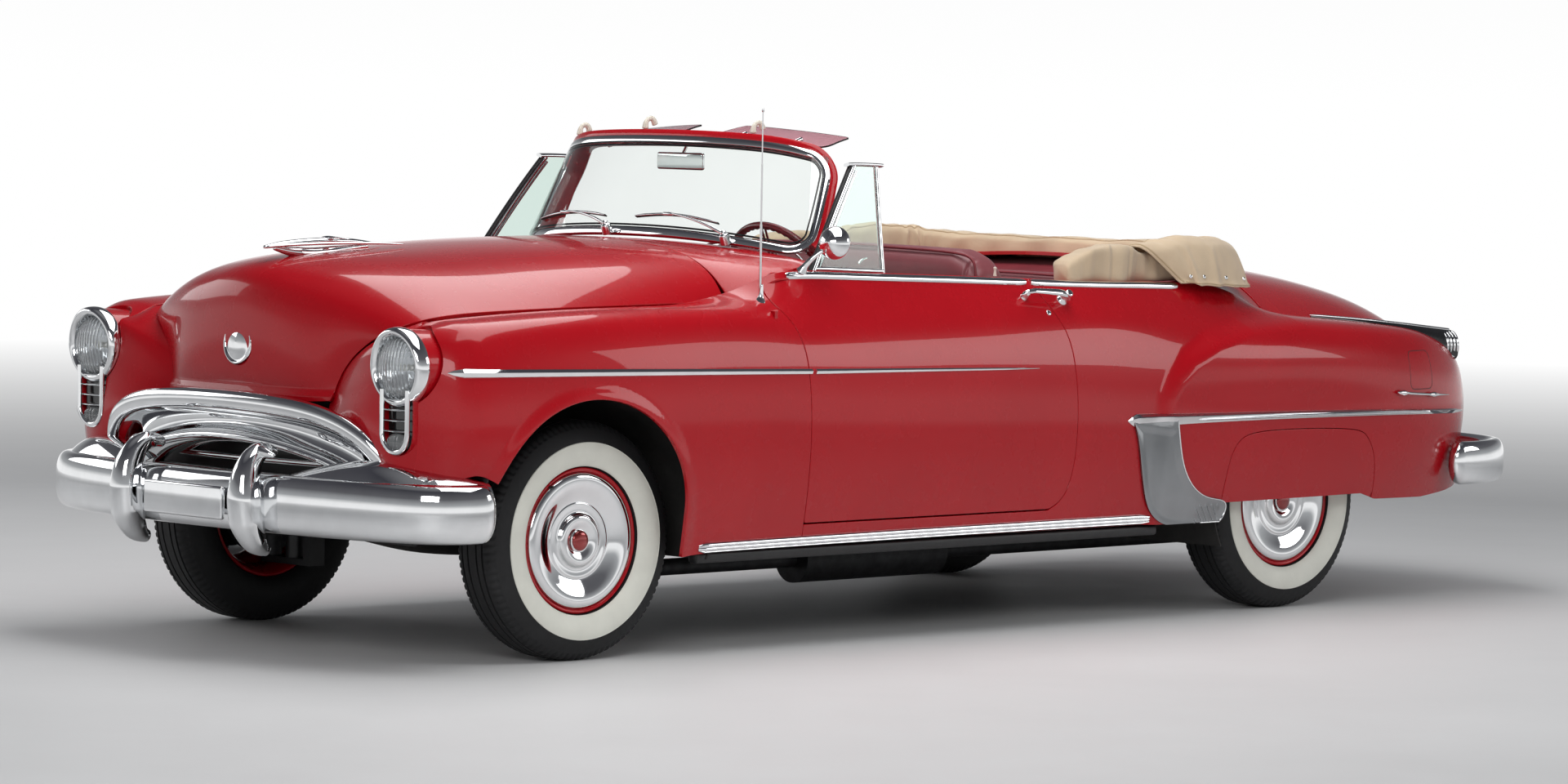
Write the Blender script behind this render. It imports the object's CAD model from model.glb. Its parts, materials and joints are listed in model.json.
import bmesh
import bpy
import json
import math
import numpy as np
from mathutils import Matrix, Vector


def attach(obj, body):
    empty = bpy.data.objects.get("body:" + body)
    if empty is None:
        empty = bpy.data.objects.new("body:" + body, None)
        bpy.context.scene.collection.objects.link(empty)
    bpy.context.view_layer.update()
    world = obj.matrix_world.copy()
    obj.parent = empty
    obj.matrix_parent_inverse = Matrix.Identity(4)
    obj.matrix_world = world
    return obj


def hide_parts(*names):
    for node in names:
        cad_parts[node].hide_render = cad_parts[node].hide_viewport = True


# A red two-door convertible of the 1950s, dressed over its CAD frame.
# Metres; front towards -Y, left towards +X.

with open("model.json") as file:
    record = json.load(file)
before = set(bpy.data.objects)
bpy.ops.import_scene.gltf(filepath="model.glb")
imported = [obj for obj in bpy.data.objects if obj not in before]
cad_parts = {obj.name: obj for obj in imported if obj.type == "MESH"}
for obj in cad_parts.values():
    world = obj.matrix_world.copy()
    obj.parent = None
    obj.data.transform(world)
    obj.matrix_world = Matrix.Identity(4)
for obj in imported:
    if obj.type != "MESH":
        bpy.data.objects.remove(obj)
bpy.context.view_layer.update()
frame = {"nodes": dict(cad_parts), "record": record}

HALF_WIDTH = 0.942
COWL = 1.2
WHEELBASE = 3.035
FRONT_Y = -1.7085
REAR_Y = FRONT_Y + WHEELBASE
HUB_Z = 0.350
UP = np.array((0.0, 0.0, 1.0))
# Steps of the halving searches: along a panel's trimmed edge, and along the body's side.
EDGE_HALVINGS = 14
SHARE_HALVINGS = 40
THREADS = 900.0
GLASS_IOR = 1.45
PLEAT_DEPTH = 0.011
# The floor's half size, and the distances between which it fades into the backdrop.
FLOOR_REACH = 60.0
FADE = (6.0, 18.0)


def at(y_share):
    return FRONT_Y + y_share * WHEELBASE


def spot(x, y, z):
    return np.array((x * HALF_WIDTH, FRONT_Y + y * WHEELBASE, z * COWL))


def smoothstep(t):
    t = np.clip(t, 0.0, 1.0)
    return t * t * (3 - 2 * t)


# Smooth curves and surfaces.

def lifted(points):
    points = np.asarray(points, float)
    out = points.copy()
    out[1:-1] = points[1:-1] - (points[:-2] - 2 * points[1:-1] + points[2:]) / 6
    return out


def basis(count, t):
    """B-spline weights of each control point at each t from 0 to 1, for a clamped uniform curve."""
    degree = min(3, count - 1)
    spans = count - degree
    knots = np.concatenate((np.zeros(degree), np.arange(spans + 1), np.full(degree, spans))).astype(float)
    t = np.clip(np.asarray(t, float) * spans, 0, spans - 1e-9)
    weights = [((t >= knots[i]) & (t < knots[i + 1])).astype(float) for i in range(len(knots) - 1)]
    for d in range(1, degree + 1):
        nxt = []
        for i in range(len(knots) - 1 - d):
            left = knots[i + d] - knots[i]
            right = knots[i + d + 1] - knots[i + 1]
            a = (t - knots[i]) / left * weights[i] if left > 0 else 0 * t
            b = (knots[i + d + 1] - t) / right * weights[i + 1] if right > 0 else 0 * t
            nxt.append(a + b)
        weights = nxt
    return np.stack(weights, -1)


def curve(points, count):
    """Points along a smooth line that passes close to the given points."""
    poles = lifted(points)
    return basis(len(poles), shares(count)) @ poles


class Surface:
    """A smooth surface that follows a grid of points, with an optional swelling along its normal."""

    def __init__(self, rows, swell=None):
        grid = np.array(rows, float)
        grid = np.swapaxes(lifted(np.swapaxes(grid, 0, 1)), 0, 1)
        self.poles = lifted(grid)
        self.swell = swell

    def plain(self, u, v):
        wu = basis(self.poles.shape[0], u)
        wv = basis(self.poles.shape[1], v)
        return np.einsum("...i,...j,ijk->...k", wu, wv, self.poles)

    def normal(self, place, u, v):
        e = 0.0008
        du = place(np.clip(u + e, 0, 1), v) - place(np.clip(u - e, 0, 1), v)
        dv = place(u, np.clip(v + e, 0, 1)) - place(u, np.clip(v - e, 0, 1))
        n = np.cross(du, dv)
        return n / np.maximum(np.linalg.norm(n, axis=-1, keepdims=True), 1e-12)

    def place(self, u, v):
        p = self.plain(u, v)
        if self.swell is None:
            return p
        return p + self.normal(self.plain, u, v) * self.swell(p)[..., None]


def distance(points, outline):
    """Signed distance from 2-D points to a closed outline, above 0 inside."""
    p = points.reshape(-1, 2)
    a = np.asarray(outline, float)
    b = np.roll(a, -1, axis=0)
    best = np.full(len(p), 1e9)
    inside = np.zeros(len(p), bool)
    for s, e in zip(a, b):
        d = e - s
        t = np.clip(((p - s) @ d) / max(d @ d, 1e-18), 0, 1)
        best = np.minimum(best, np.linalg.norm(p - s - t[:, None] * d, axis=1))
        crosses = ((s[1] > p[:, 1]) != (e[1] > p[:, 1]))
        if e[1] != s[1]:
            inside ^= crosses & (p[:, 0] < (e[0] - s[0]) * (p[:, 1] - s[1]) / (e[1] - s[1]) + s[0])
    return np.where(inside, best, -best).reshape(points.shape[:-1])


def clip_grid(surface, us, vs, keep):
    """Points and faces of the part of a surface where keep is above 0; border points lie exactly on it."""
    u, v = np.meshgrid(us, vs, indexing="ij")
    place = surface.place(u, v)
    value = keep(place) if keep else np.ones(u.shape)
    inside = value > 0
    params = []
    index = -np.ones(u.shape, int)
    index[inside] = np.arange(inside.sum())
    params.append(np.stack((u[inside], v[inside]), -1))
    count = int(inside.sum())
    crossing = {}
    for axis in (0, 1):
        a = (slice(0, -1), slice(None)) if axis == 0 else (slice(None), slice(0, -1))
        b = (slice(1, None), slice(None)) if axis == 0 else (slice(None), slice(1, None))
        where = np.argwhere(inside[a] != inside[b])
        if len(where) == 0:
            continue
        i, j = where[:, 0], where[:, 1]
        i2, j2 = (i + 1, j) if axis == 0 else (i, j + 1)
        lo = np.stack((u[i, j], v[i, j]), -1)
        hi = np.stack((u[i2, j2], v[i2, j2]), -1)
        flip = ~inside[i, j]
        lo[flip], hi[flip] = hi[flip].copy(), lo[flip].copy()
        for _ in range(EDGE_HALVINGS):
            mid = (lo + hi) / 2
            ok = keep(surface.place(mid[:, 0], mid[:, 1])) > 0
            lo[ok] = mid[ok]
            hi[~ok] = mid[~ok]
        params.append(lo)
        for n, (x, y) in enumerate(where):
            crossing[(axis, x, y)] = count + n
        count += len(where)
    faces = []
    full = inside[:-1, :-1] & inside[1:, :-1] & inside[1:, 1:] & inside[:-1, 1:]
    part = (inside[:-1, :-1] | inside[1:, :-1] | inside[1:, 1:] | inside[:-1, 1:]) & ~full
    fi, fj = np.nonzero(full)
    quad_corners = (index[fi, fj], index[fi + 1, fj], index[fi + 1, fj + 1], index[fi, fj + 1])
    faces += np.stack(quad_corners, -1).tolist()
    for i, j in np.argwhere(part):
        corners = ((i, j), (i + 1, j), (i + 1, j + 1), (i, j + 1))
        edges = ((0, i, j), (1, i + 1, j), (0, i, j + 1), (1, i, j))
        face = []
        for corner, edge in zip(corners, edges):
            if inside[corner]:
                face.append(int(index[corner]))
            if edge in crossing:
                face.append(crossing[edge])
        if len(face) > 2:
            faces.append(face)
    return np.concatenate(params), faces


def panel_mesh(surface, us, vs, keep=None, depth=0.012, lip=0.0022, flip=False):
    """A sheet-metal panel: its outer skin, a softly turned edge and its inner skin."""
    params, faces = clip_grid(surface, us, vs, keep)
    points = surface.place(params[:, 0], params[:, 1])
    normals = surface.normal(surface.place, params[:, 0], params[:, 1])
    if flip:
        normals = -normals
        faces = [face[::-1] for face in faces]
    used = {}
    for face in faces:
        for a, b in zip(face, face[1:] + face[:1]):
            used[(a, b)] = True
    border = [(a, b) for a, b in used if (b, a) not in used]
    out = np.zeros_like(points)
    for a, b in border:
        d = points[b] - points[a]
        length = np.linalg.norm(d)
        if length < 1e-9:
            continue
        o = np.cross(d / length, normals[a] + normals[b])
        out[a] += o
        out[b] += o
    rim = sorted({a for edge in border for a in edge})
    number = {a: n for n, a in enumerate(rim)}
    rim = np.array(rim)
    o = out[rim]
    o /= np.maximum(np.linalg.norm(o, axis=1, keepdims=True), 1e-9)
    n = normals[rim]
    all_points = [points]
    all_normals = [normals]
    start = len(points)
    previous = rim
    quads = []
    rings = ((0.50, 0.15, 0.50), (0.86, 0.50, 0.87), (1.0, 1.0, 1.0), (1.0, depth / lip, 1.0))
    for along, down, lean in rings:
        all_points.append(points[rim] + o * lip * along - n * lip * down)
        ring_normal = n * math.sqrt(max(0.0, 1 - lean * lean)) + o * lean
        all_normals.append(ring_normal)
        ids = start + np.arange(len(rim))
        for a, b in border:
            quads.append([int(previous[number[b]]), int(previous[number[a]]), int(ids[number[a]]),
                          int(ids[number[b]])])
        previous = ids
        start += len(rim)
    inner_start = start
    all_points.append(points - normals * depth)
    all_normals.append(-normals)
    for a, b in border:
        quads.append([int(previous[number[b]]), int(previous[number[a]]), inner_start + a, inner_start + b])
    faces = faces + quads + [[inner_start + a for a in reversed(face)] for face in faces]
    return np.concatenate(all_points), faces, np.concatenate(all_normals)


def mirror_x(data):
    points, faces, normals = data
    flip = np.array((-1.0, 1.0, 1.0))
    turned = [list(reversed(face)) for face in faces]
    return points * flip, turned, None if normals is None else normals * flip


def merged(*parts):
    points, faces, normals = [], [], []
    start = 0
    for p, f, n in parts:
        points.append(np.asarray(p, float))
        normals.append(n if n is not None else np.zeros((len(p), 3)))
        faces += [[start + i for i in face] for face in f]
        start += len(p)
    has_normals = all(n is not None for _, _, n in parts)
    return np.concatenate(points), faces, np.concatenate(normals) if has_normals else None


def both(data):
    """The given left half with its mirror image."""
    return merged(data, mirror_x(data))


def full_row(left):
    """A row of points right across the car, from its left half, which ends on the middle."""
    left = [np.asarray(p, float) for p in left]
    return left + [p * (-1, 1, 1) for p in left[:-1][::-1]]


def around(count):
    return np.linspace(0, 2 * math.pi, count, endpoint=False)


def shares(count):
    return np.linspace(0, 1, count)


def faces_down(surface):
    """True where the middle of a surface looks downwards."""
    middle = np.array(0.5)
    return surface.normal(surface.place, middle, middle)[2] < 0


def ring_section(half_along, half_out, radius, count):
    """The round section of a ring that a lathe turns: (along, radius) points."""
    turn = around(count)
    return [(half_along * math.cos(a), radius + half_out * math.sin(a)) for a in turn]


def rounded_loop(left, right, low, high, radius, count):
    """The corners of a rounded rectangle, each as an arc of count points."""
    line = []
    for cx, cz, start in ((right - radius, high - radius, 0), (left + radius, high - radius, 90),
                          (left + radius, low + radius, 180), (right - radius, low + radius, 270)):
        for angle in np.radians(np.linspace(start, start + 90, count)):
            line.append((cx + radius * math.cos(angle), cz + radius * math.sin(angle)))
    return line


def piece(name, data, material, body="body", slot=None, replaces=(), smooth=True, sharp=None):
    """A mesh object of the car that rides on a CAD body."""
    points, faces, normals = data
    mesh = bpy.data.meshes.new(name)
    mesh.from_pydata([tuple(p) for p in np.asarray(points).tolist()], [], faces)
    mesh.update()
    if normals is None:
        shape = bmesh.new()
        shape.from_mesh(mesh)
        bmesh.ops.recalc_face_normals(shape, faces=shape.faces)
        shape.to_mesh(mesh)
        shape.free()
    materials = material if isinstance(material, (list, tuple)) else [material]
    for m in materials:
        mesh.materials.append(m)
    if smooth:
        mesh.polygons.foreach_set("use_smooth", np.ones(len(mesh.polygons), bool))
        if normals is not None:
            mesh.normals_split_custom_set_from_vertices(np.asarray(normals).tolist())
        elif sharp is not None:
            mesh.set_sharp_from_angle(angle=math.radians(sharp))
    obj = bpy.data.objects.new(name, mesh)
    bpy.context.scene.collection.objects.link(obj)
    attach(obj, body)
    if replaces:
        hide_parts(*replaces)
    return obj


def frames(path, upward):
    path = np.asarray(path, float)
    along = np.gradient(path, axis=0)
    along /= np.linalg.norm(along, axis=1, keepdims=True)
    side = np.cross(along, upward)
    side /= np.maximum(np.linalg.norm(side, axis=1, keepdims=True), 1e-9)
    rise = np.cross(side, along)
    return along, side, rise


def sweep(path, profile, upward=UP, scales=None, round_ends=0.0, steps=7):
    """A bar: a closed profile of (side, rise) points carried along a path, with rounded ends."""
    path = np.asarray(path, float)
    profile = np.asarray(profile, float)
    scales = np.ones((len(path), 2)) if scales is None else np.asarray(scales, float)
    if scales.ndim == 1:
        scales = np.stack((scales, scales), -1)
    along, side, rise = frames(path, np.asarray(upward, float))
    if round_ends > 0:
        turn = np.linspace(0, math.pi / 2, steps + 1)[1:]
        head_p = [path[0] - along[0] * round_ends * math.sin(t) for t in turn][::-1]
        tail_p = [path[-1] + along[-1] * round_ends * math.sin(t) for t in turn]
        head_s = [scales[0] * max(math.cos(t), 0.02) for t in turn][::-1]
        tail_s = [scales[-1] * max(math.cos(t), 0.02) for t in turn]
        path = np.concatenate((head_p, path, tail_p))
        scales = np.concatenate((head_s, scales, tail_s))
        side = np.concatenate(([side[0]] * steps, side, [side[-1]] * steps))
        rise = np.concatenate(([rise[0]] * steps, rise, [rise[-1]] * steps))
    points = (path[:, None, :] + side[:, None, :] * (profile[None, :, :1] * scales[:, None, :1])
              + rise[:, None, :] * (profile[None, :, 1:] * scales[:, None, 1:]))
    rows, count = points.shape[:2]
    faces = []
    for i in range(rows - 1):
        for j in range(count):
            k = (j + 1) % count
            faces.append([i * count + j, i * count + k, (i + 1) * count + k, (i + 1) * count + j])
    faces.append([j for j in range(count)][::-1])
    faces.append([(rows - 1) * count + j for j in range(count)])
    return points.reshape(-1, 3), faces, None


def oval(half_side, half_rise, count=20, power=1.0):
    turn = around(count)
    c, s = np.cos(turn), np.sin(turn)
    return np.stack((np.sign(c) * np.abs(c) ** power * half_side,
                     np.sign(s) * np.abs(s) ** power * half_rise), -1)


def lathe(profile, centre, axis=(1, 0, 0), segments=96, closed=False, ripple=None):
    """A turned piece: (along, radius) points spun about an axis through the centre."""
    axis = np.asarray(axis, float) / np.linalg.norm(axis)
    helper = np.array((0.0, 0.0, 1.0)) if abs(axis[2]) < 0.9 else np.array((0.0, 1.0, 0.0))
    first = np.cross(axis, helper)
    first /= np.linalg.norm(first)
    second = np.cross(axis, first)
    profile = np.asarray(profile, float)
    turn = around(segments)
    ring = np.outer(np.cos(turn), first) + np.outer(np.sin(turn), second)
    radius = np.repeat(profile[None, :, 1], segments, 0)
    if ripple is not None:
        radius = radius + ripple(turn[:, None], profile[None, :, 0], profile[None, :, 1])
    points = np.asarray(centre, float) + ring[:, None, :] * radius[:, :, None] + axis * profile[None, :, :1]
    count = len(profile)
    faces = []
    last = count if closed else count - 1
    for i in range(segments):
        k = (i + 1) % segments
        for j in range(last):
            m = (j + 1) % count
            faces.append([i * count + j, i * count + m, k * count + m, k * count + j])
    return points.reshape(-1, 3), faces, None


def rounded_box(low, high, radius, steps=4):
    """A box with rounded edges and corners."""
    low, high = np.asarray(low, float), np.asarray(high, float)
    radius = min(radius, float((high - low).min()) / 2 - 1e-6)
    lines = []
    for k in range(3):
        turn = np.linspace(0, math.pi / 2, steps + 1)
        start = low[k] + radius * (1 - np.cos(turn))
        end = high[k] - radius * (1 - np.cos(turn[::-1]))
        lines.append(np.concatenate((start, end)))
    core_low, core_high = low + radius, high - radius
    points, index, faces = [], {}, []

    def vertex(p):
        key = tuple(np.round(p, 7))
        if key not in index:
            core = np.clip(p, core_low, core_high)
            d = p - core
            length = np.linalg.norm(d)
            q = core + d / length * radius if length > 1e-9 else p
            index[key] = len(points)
            points.append(q)
        return index[key]

    for k in range(3):
        a, b = [n for n in range(3) if n != k]
        for value, sign in ((low[k], -1), (high[k], 1)):
            for i in range(len(lines[a]) - 1):
                for j in range(len(lines[b]) - 1):
                    quad = []
                    for s, t in ((i, j), (i + 1, j), (i + 1, j + 1), (i, j + 1)):
                        p = np.zeros(3)
                        p[k] = value
                        p[a] = lines[a][s]
                        p[b] = lines[b][t]
                        quad.append(vertex(p))
                    turn = sign if (k, a, b) in ((0, 1, 2), (2, 0, 1)) else -sign
                    face = quad if turn > 0 else quad[::-1]
                    if len(set(face)) == 4:
                        faces.append(face)
    return np.array(points), faces, None


def ringed(rings, capped=True):
    """A closed skin through rings of points."""
    rings = np.asarray(rings, float)
    rows, count = rings.shape[:2]
    faces = []
    for i in range(rows - 1):
        for j in range(count):
            k = (j + 1) % count
            faces.append([i * count + j, i * count + k, (i + 1) * count + k, (i + 1) * count + j])
    if capped:
        faces.append([j for j in range(count)][::-1])
        faces.append([(rows - 1) * count + j for j in range(count)])
    return rings.reshape(-1, 3), faces, None


# Materials.

def new_material(name):
    material = bpy.data.materials.new(name)
    material.use_nodes = True
    tree = material.node_tree
    shader = tree.nodes["Principled BSDF"]
    return material, tree, shader


def add(tree, kind, **values):
    node = tree.nodes.new(kind)
    for key, value in values.items():
        if key in node.inputs:
            node.inputs[key].default_value = value
        else:
            setattr(node, key, value)
    return node


def coordinates(tree):
    return add(tree, "ShaderNodeTexCoord").outputs["Object"]


def noise(tree, vector, scale, detail=3.0, roughness=0.5):
    node = add(tree, "ShaderNodeTexNoise", Scale=scale, Detail=detail, Roughness=roughness)
    tree.links.new(vector, node.inputs["Vector"])
    return node.outputs["Fac"]


def ramp(tree, factor, stops):
    node = add(tree, "ShaderNodeValToRGB")
    elements = node.color_ramp.elements
    while len(elements) < len(stops):
        elements.new(0.5)
    for element, (place, color) in zip(elements, stops):
        element.position = place
        element.color = color if len(color) == 4 else (*color, 1.0)
    tree.links.new(factor, node.inputs["Fac"])
    return node.outputs["Color"]


def put(node, values):
    for key, value in values.items():
        node.inputs[key].default_value = value


def spread(tree, factor, low, high, start=0.0, end=1.0):
    node = add(tree, "ShaderNodeMapRange")
    put(node, {"From Min": start, "From Max": end, "To Min": low, "To Max": high})
    tree.links.new(factor, node.inputs["Value"])
    return node.outputs["Result"]


def bump(tree, shader, height, strength, distance_m, socket="Normal"):
    node = add(tree, "ShaderNodeBump", Strength=strength, Distance=distance_m)
    tree.links.new(height, node.inputs["Height"])
    tree.links.new(node.outputs["Normal"], shader.inputs[socket])


def colored(tree, shader, color, tone, factor, start=0.3, end=0.7):
    """The colour, varied by a share of itself from darker to lighter over a noise."""
    low = tuple(c * (1 - tone) for c in color)
    high = tuple(min(1.0, c * (1 + tone)) for c in color)
    tree.links.new(ramp(tree, factor, ((start, low), (end, high))), shader.inputs["Base Color"])


def roughened(tree, shader, factor, low, high):
    tree.links.new(spread(tree, factor, low, high), shader.inputs["Roughness"])


def combined(tree, operation, first, second):
    node = add(tree, "ShaderNodeMath", operation=operation)
    tree.links.new(first, node.inputs[0])
    tree.links.new(second, node.inputs[1])
    return node.outputs["Value"]


def seen_directly(tree):
    """1 for rays from the camera, off a glossy face or through glass."""
    rays = add(tree, "ShaderNodeLightPath").outputs
    either = combined(tree, "MAXIMUM", rays["Is Camera Ray"], rays["Is Glossy Ray"])
    return combined(tree, "MAXIMUM", either, rays["Is Transmission Ray"])


def basic(name, color, metallic=0.0, rough=(0.3, 0.4), tone=0.06, scale=30.0, bump_size=0.0, bump_scale=200.0,
          coat=0.0, sheen=0.0):
    material, tree, shader = new_material(name)
    vector = coordinates(tree)
    colored(tree, shader, color, tone, noise(tree, vector, scale))
    roughened(tree, shader, noise(tree, vector, scale * 3.1, 4.0), *rough)
    shader.inputs["Metallic"].default_value = metallic
    if coat:
        put(shader, {"Coat Weight": coat, "Coat Roughness": 0.03})
    if sheen:
        put(shader, {"Sheen Weight": sheen, "Sheen Roughness": 0.4})
    if bump_size:
        bump(tree, shader, noise(tree, vector, bump_scale, 4.0), 0.5, bump_size)
    return material


def paint(name, color):
    """Old car enamel: deep red, a clear gloss over it and a faint orange-peel ripple."""
    material, tree, shader = new_material(name)
    vector = coordinates(tree)
    colored(tree, shader, color, 0.05, noise(tree, vector, 2.2, 2.0))
    roughened(tree, shader, noise(tree, vector, 9.0, 5.0, 0.6), 0.22, 0.32)
    put(shader, {"Specular IOR Level": 0.15, "Coat Weight": 0.65, "Coat Roughness": 0.02, "Coat IOR": 1.42})
    bump(tree, shader, noise(tree, vector, 180.0, 2.0), 0.02, 0.0002, "Coat Normal")
    return material


def chrome(name, color=(0.80, 0.81, 0.82), rough=(0.035, 0.075)):
    """Polished plating with faint polishing haze and specks of wear."""
    material, tree, shader = new_material(name)
    vector = coordinates(tree)
    colored(tree, shader, color, 0.03, noise(tree, vector, 14.0), 0.35, 0.65)
    roughened(tree, shader, noise(tree, vector, 35.0, 6.0, 0.65), *rough)
    shader.inputs["Metallic"].default_value = 1.0
    bump(tree, shader, noise(tree, vector, 60.0, 2.0), 0.03, 0.0005)
    return material


def glass(name, color, rough):
    material, tree, shader = new_material(name)
    vector = coordinates(tree)
    colored(tree, shader, color, 0.02, noise(tree, vector, 3.0))
    roughened(tree, shader, noise(tree, vector, 22.0, 5.0, 0.7), rough, rough * 3)
    put(shader, {"Transmission Weight": 1.0, "IOR": GLASS_IOR})
    return material


def leather(name, color, grain=320.0):
    """Grained hide: pebbled bump, wear that lightens and polishes the high places."""
    material, tree, shader = new_material(name)
    vector = coordinates(tree)
    wear = noise(tree, vector, 6.0, 4.0, 0.6)
    colored(tree, shader, color, 0.16, wear, 0.32, 0.68)
    cells = add(tree, "ShaderNodeTexVoronoi", Scale=grain)
    cells.feature = "DISTANCE_TO_EDGE"
    tree.links.new(vector, cells.inputs["Vector"])
    bump(tree, shader, cells.outputs["Distance"], 0.35, 0.0006)
    roughened(tree, shader, wear, 0.34, 0.5)
    shader.inputs["Sheen Weight"].default_value = 0.05
    return material


def cloth(name, color):
    """Woven canvas: two crossed sets of threads, with soft dirt and fading."""
    material, tree, shader = new_material(name)
    vector = coordinates(tree)
    waves = []
    for direction in ("X", "Y"):
        wave = add(tree, "ShaderNodeTexWave", Scale=THREADS / 6.28, bands_direction=direction)
        put(wave, {"Distortion": 0.6})
        tree.links.new(vector, wave.inputs["Vector"])
        waves.append(wave.outputs["Fac"])
    colored(tree, shader, color, 0.10, noise(tree, vector, 4.0, 5.0, 0.6))
    roughened(tree, shader, noise(tree, vector, 40.0), 0.75, 0.92)
    put(shader, {"Sheen Weight": 0.25, "Sheen Roughness": 0.5})
    bump(tree, shader, combined(tree, "MAXIMUM", *waves), 0.4, 0.0005)
    return material


def bright(name, data, *more, **options):
    """A piece of the body in the bright plating."""
    return piece(name, data, CHROME, "body", "chrome", *more, **options)


RED = paint("red_enamel", (0.43, 0.003, 0.009))
CHROME = chrome("bright_plating")
STEEL = chrome("brushed_trim", (0.62, 0.62, 0.63), (0.16, 0.26))
STEEL_BRIGHT = chrome("bright_sheet", (0.30, 0.31, 0.32), (0.06, 0.11))
BLACK = basic("satin_black", (0.012, 0.012, 0.013), rough=(0.35, 0.55), tone=0.25, bump_size=0.0002)
UNDER = basic("underseal", (0.018, 0.017, 0.016), rough=(0.75, 0.95), tone=0.35, scale=12, bump_size=0.0015,
              bump_scale=70.0)
IRON = basic("cast_iron", (0.035, 0.035, 0.037), metallic=0.6, rough=(0.45, 0.7), tone=0.3, bump_size=0.0008)
RUBBER = basic("tyre_rubber", (0.007, 0.007, 0.008), rough=(0.55, 0.75), tone=0.18, scale=18,
               bump_size=0.0004, bump_scale=350.0)
WHITE_RUBBER = basic("whitewall", (0.79, 0.79, 0.71), rough=(0.42, 0.6), tone=0.04, scale=14,
                     bump_size=0.0002)
PLATE = basic("plate_black", (0.010, 0.010, 0.011), rough=(0.08, 0.2), tone=0.2, coat=0.4)
HIDE = leather("maroon_hide", (0.215, 0.052, 0.062))
PANEL_HIDE = leather("maroon_panel", (0.20, 0.012, 0.022), grain=380.0)
CANVAS = cloth("tan_canvas", (0.60, 0.46, 0.31))
CANVAS_EDGE = cloth("canvas_binding", (0.50, 0.37, 0.23))
CARPET = basic("maroon_carpet", (0.10, 0.008, 0.012), rough=(0.9, 1.0), tone=0.35, scale=90, bump_size=0.003,
               bump_scale=240.0, sheen=0.5)
PLASTIC = basic("maroon_plastic", (0.24, 0.012, 0.020), rough=(0.16, 0.26), tone=0.08, coat=0.6)
GLASS = glass("clear_glass", (0.93, 0.97, 0.95), 0.004)
VENT_GLASS = glass("green_glass", (0.72, 0.86, 0.80), 0.006)
TINT = glass("tinted_sheet", (0.84, 0.42, 0.48), 0.02)
RED_LENS = glass("red_lens", (0.75, 0.02, 0.02), 0.05)
AMBER_LENS = glass("amber_lens", (0.9, 0.45, 0.06), 0.05)
IVORY = basic("ivory_plastic", (0.72, 0.68, 0.58), rough=(0.2, 0.35), tone=0.05)


def ribbed_glass():
    """A lamp's moulded lens: upright flutes behind a smooth face."""
    material, tree, shader = new_material("ribbed_glass")
    vector = coordinates(tree)
    waves = []
    for direction, scale in (("X", 24.0), ("Z", 9.0)):
        wave = add(tree, "ShaderNodeTexWave", Scale=scale, bands_direction=direction)
        tree.links.new(vector, wave.inputs["Vector"])
        waves.append(wave.outputs["Fac"])
    bump(tree, shader, combined(tree, "ADD", *waves), 0.8, 0.0020)
    tree.links.new(ramp(tree, noise(tree, vector, 5.0),
                        ((0.3, (0.88, 0.91, 0.93)), (0.7, (0.95, 0.97, 0.98)))),
                   shader.inputs["Base Color"])
    roughened(tree, shader, noise(tree, vector, 50.0), 0.02, 0.06)
    put(shader, {"Transmission Weight": 0.85, "IOR": GLASS_IOR})
    return material


LAMP_GLASS = ribbed_glass()
REFLECTOR = chrome("reflector", (0.88, 0.89, 0.90), (0.05, 0.10))

# The painted body.

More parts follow.
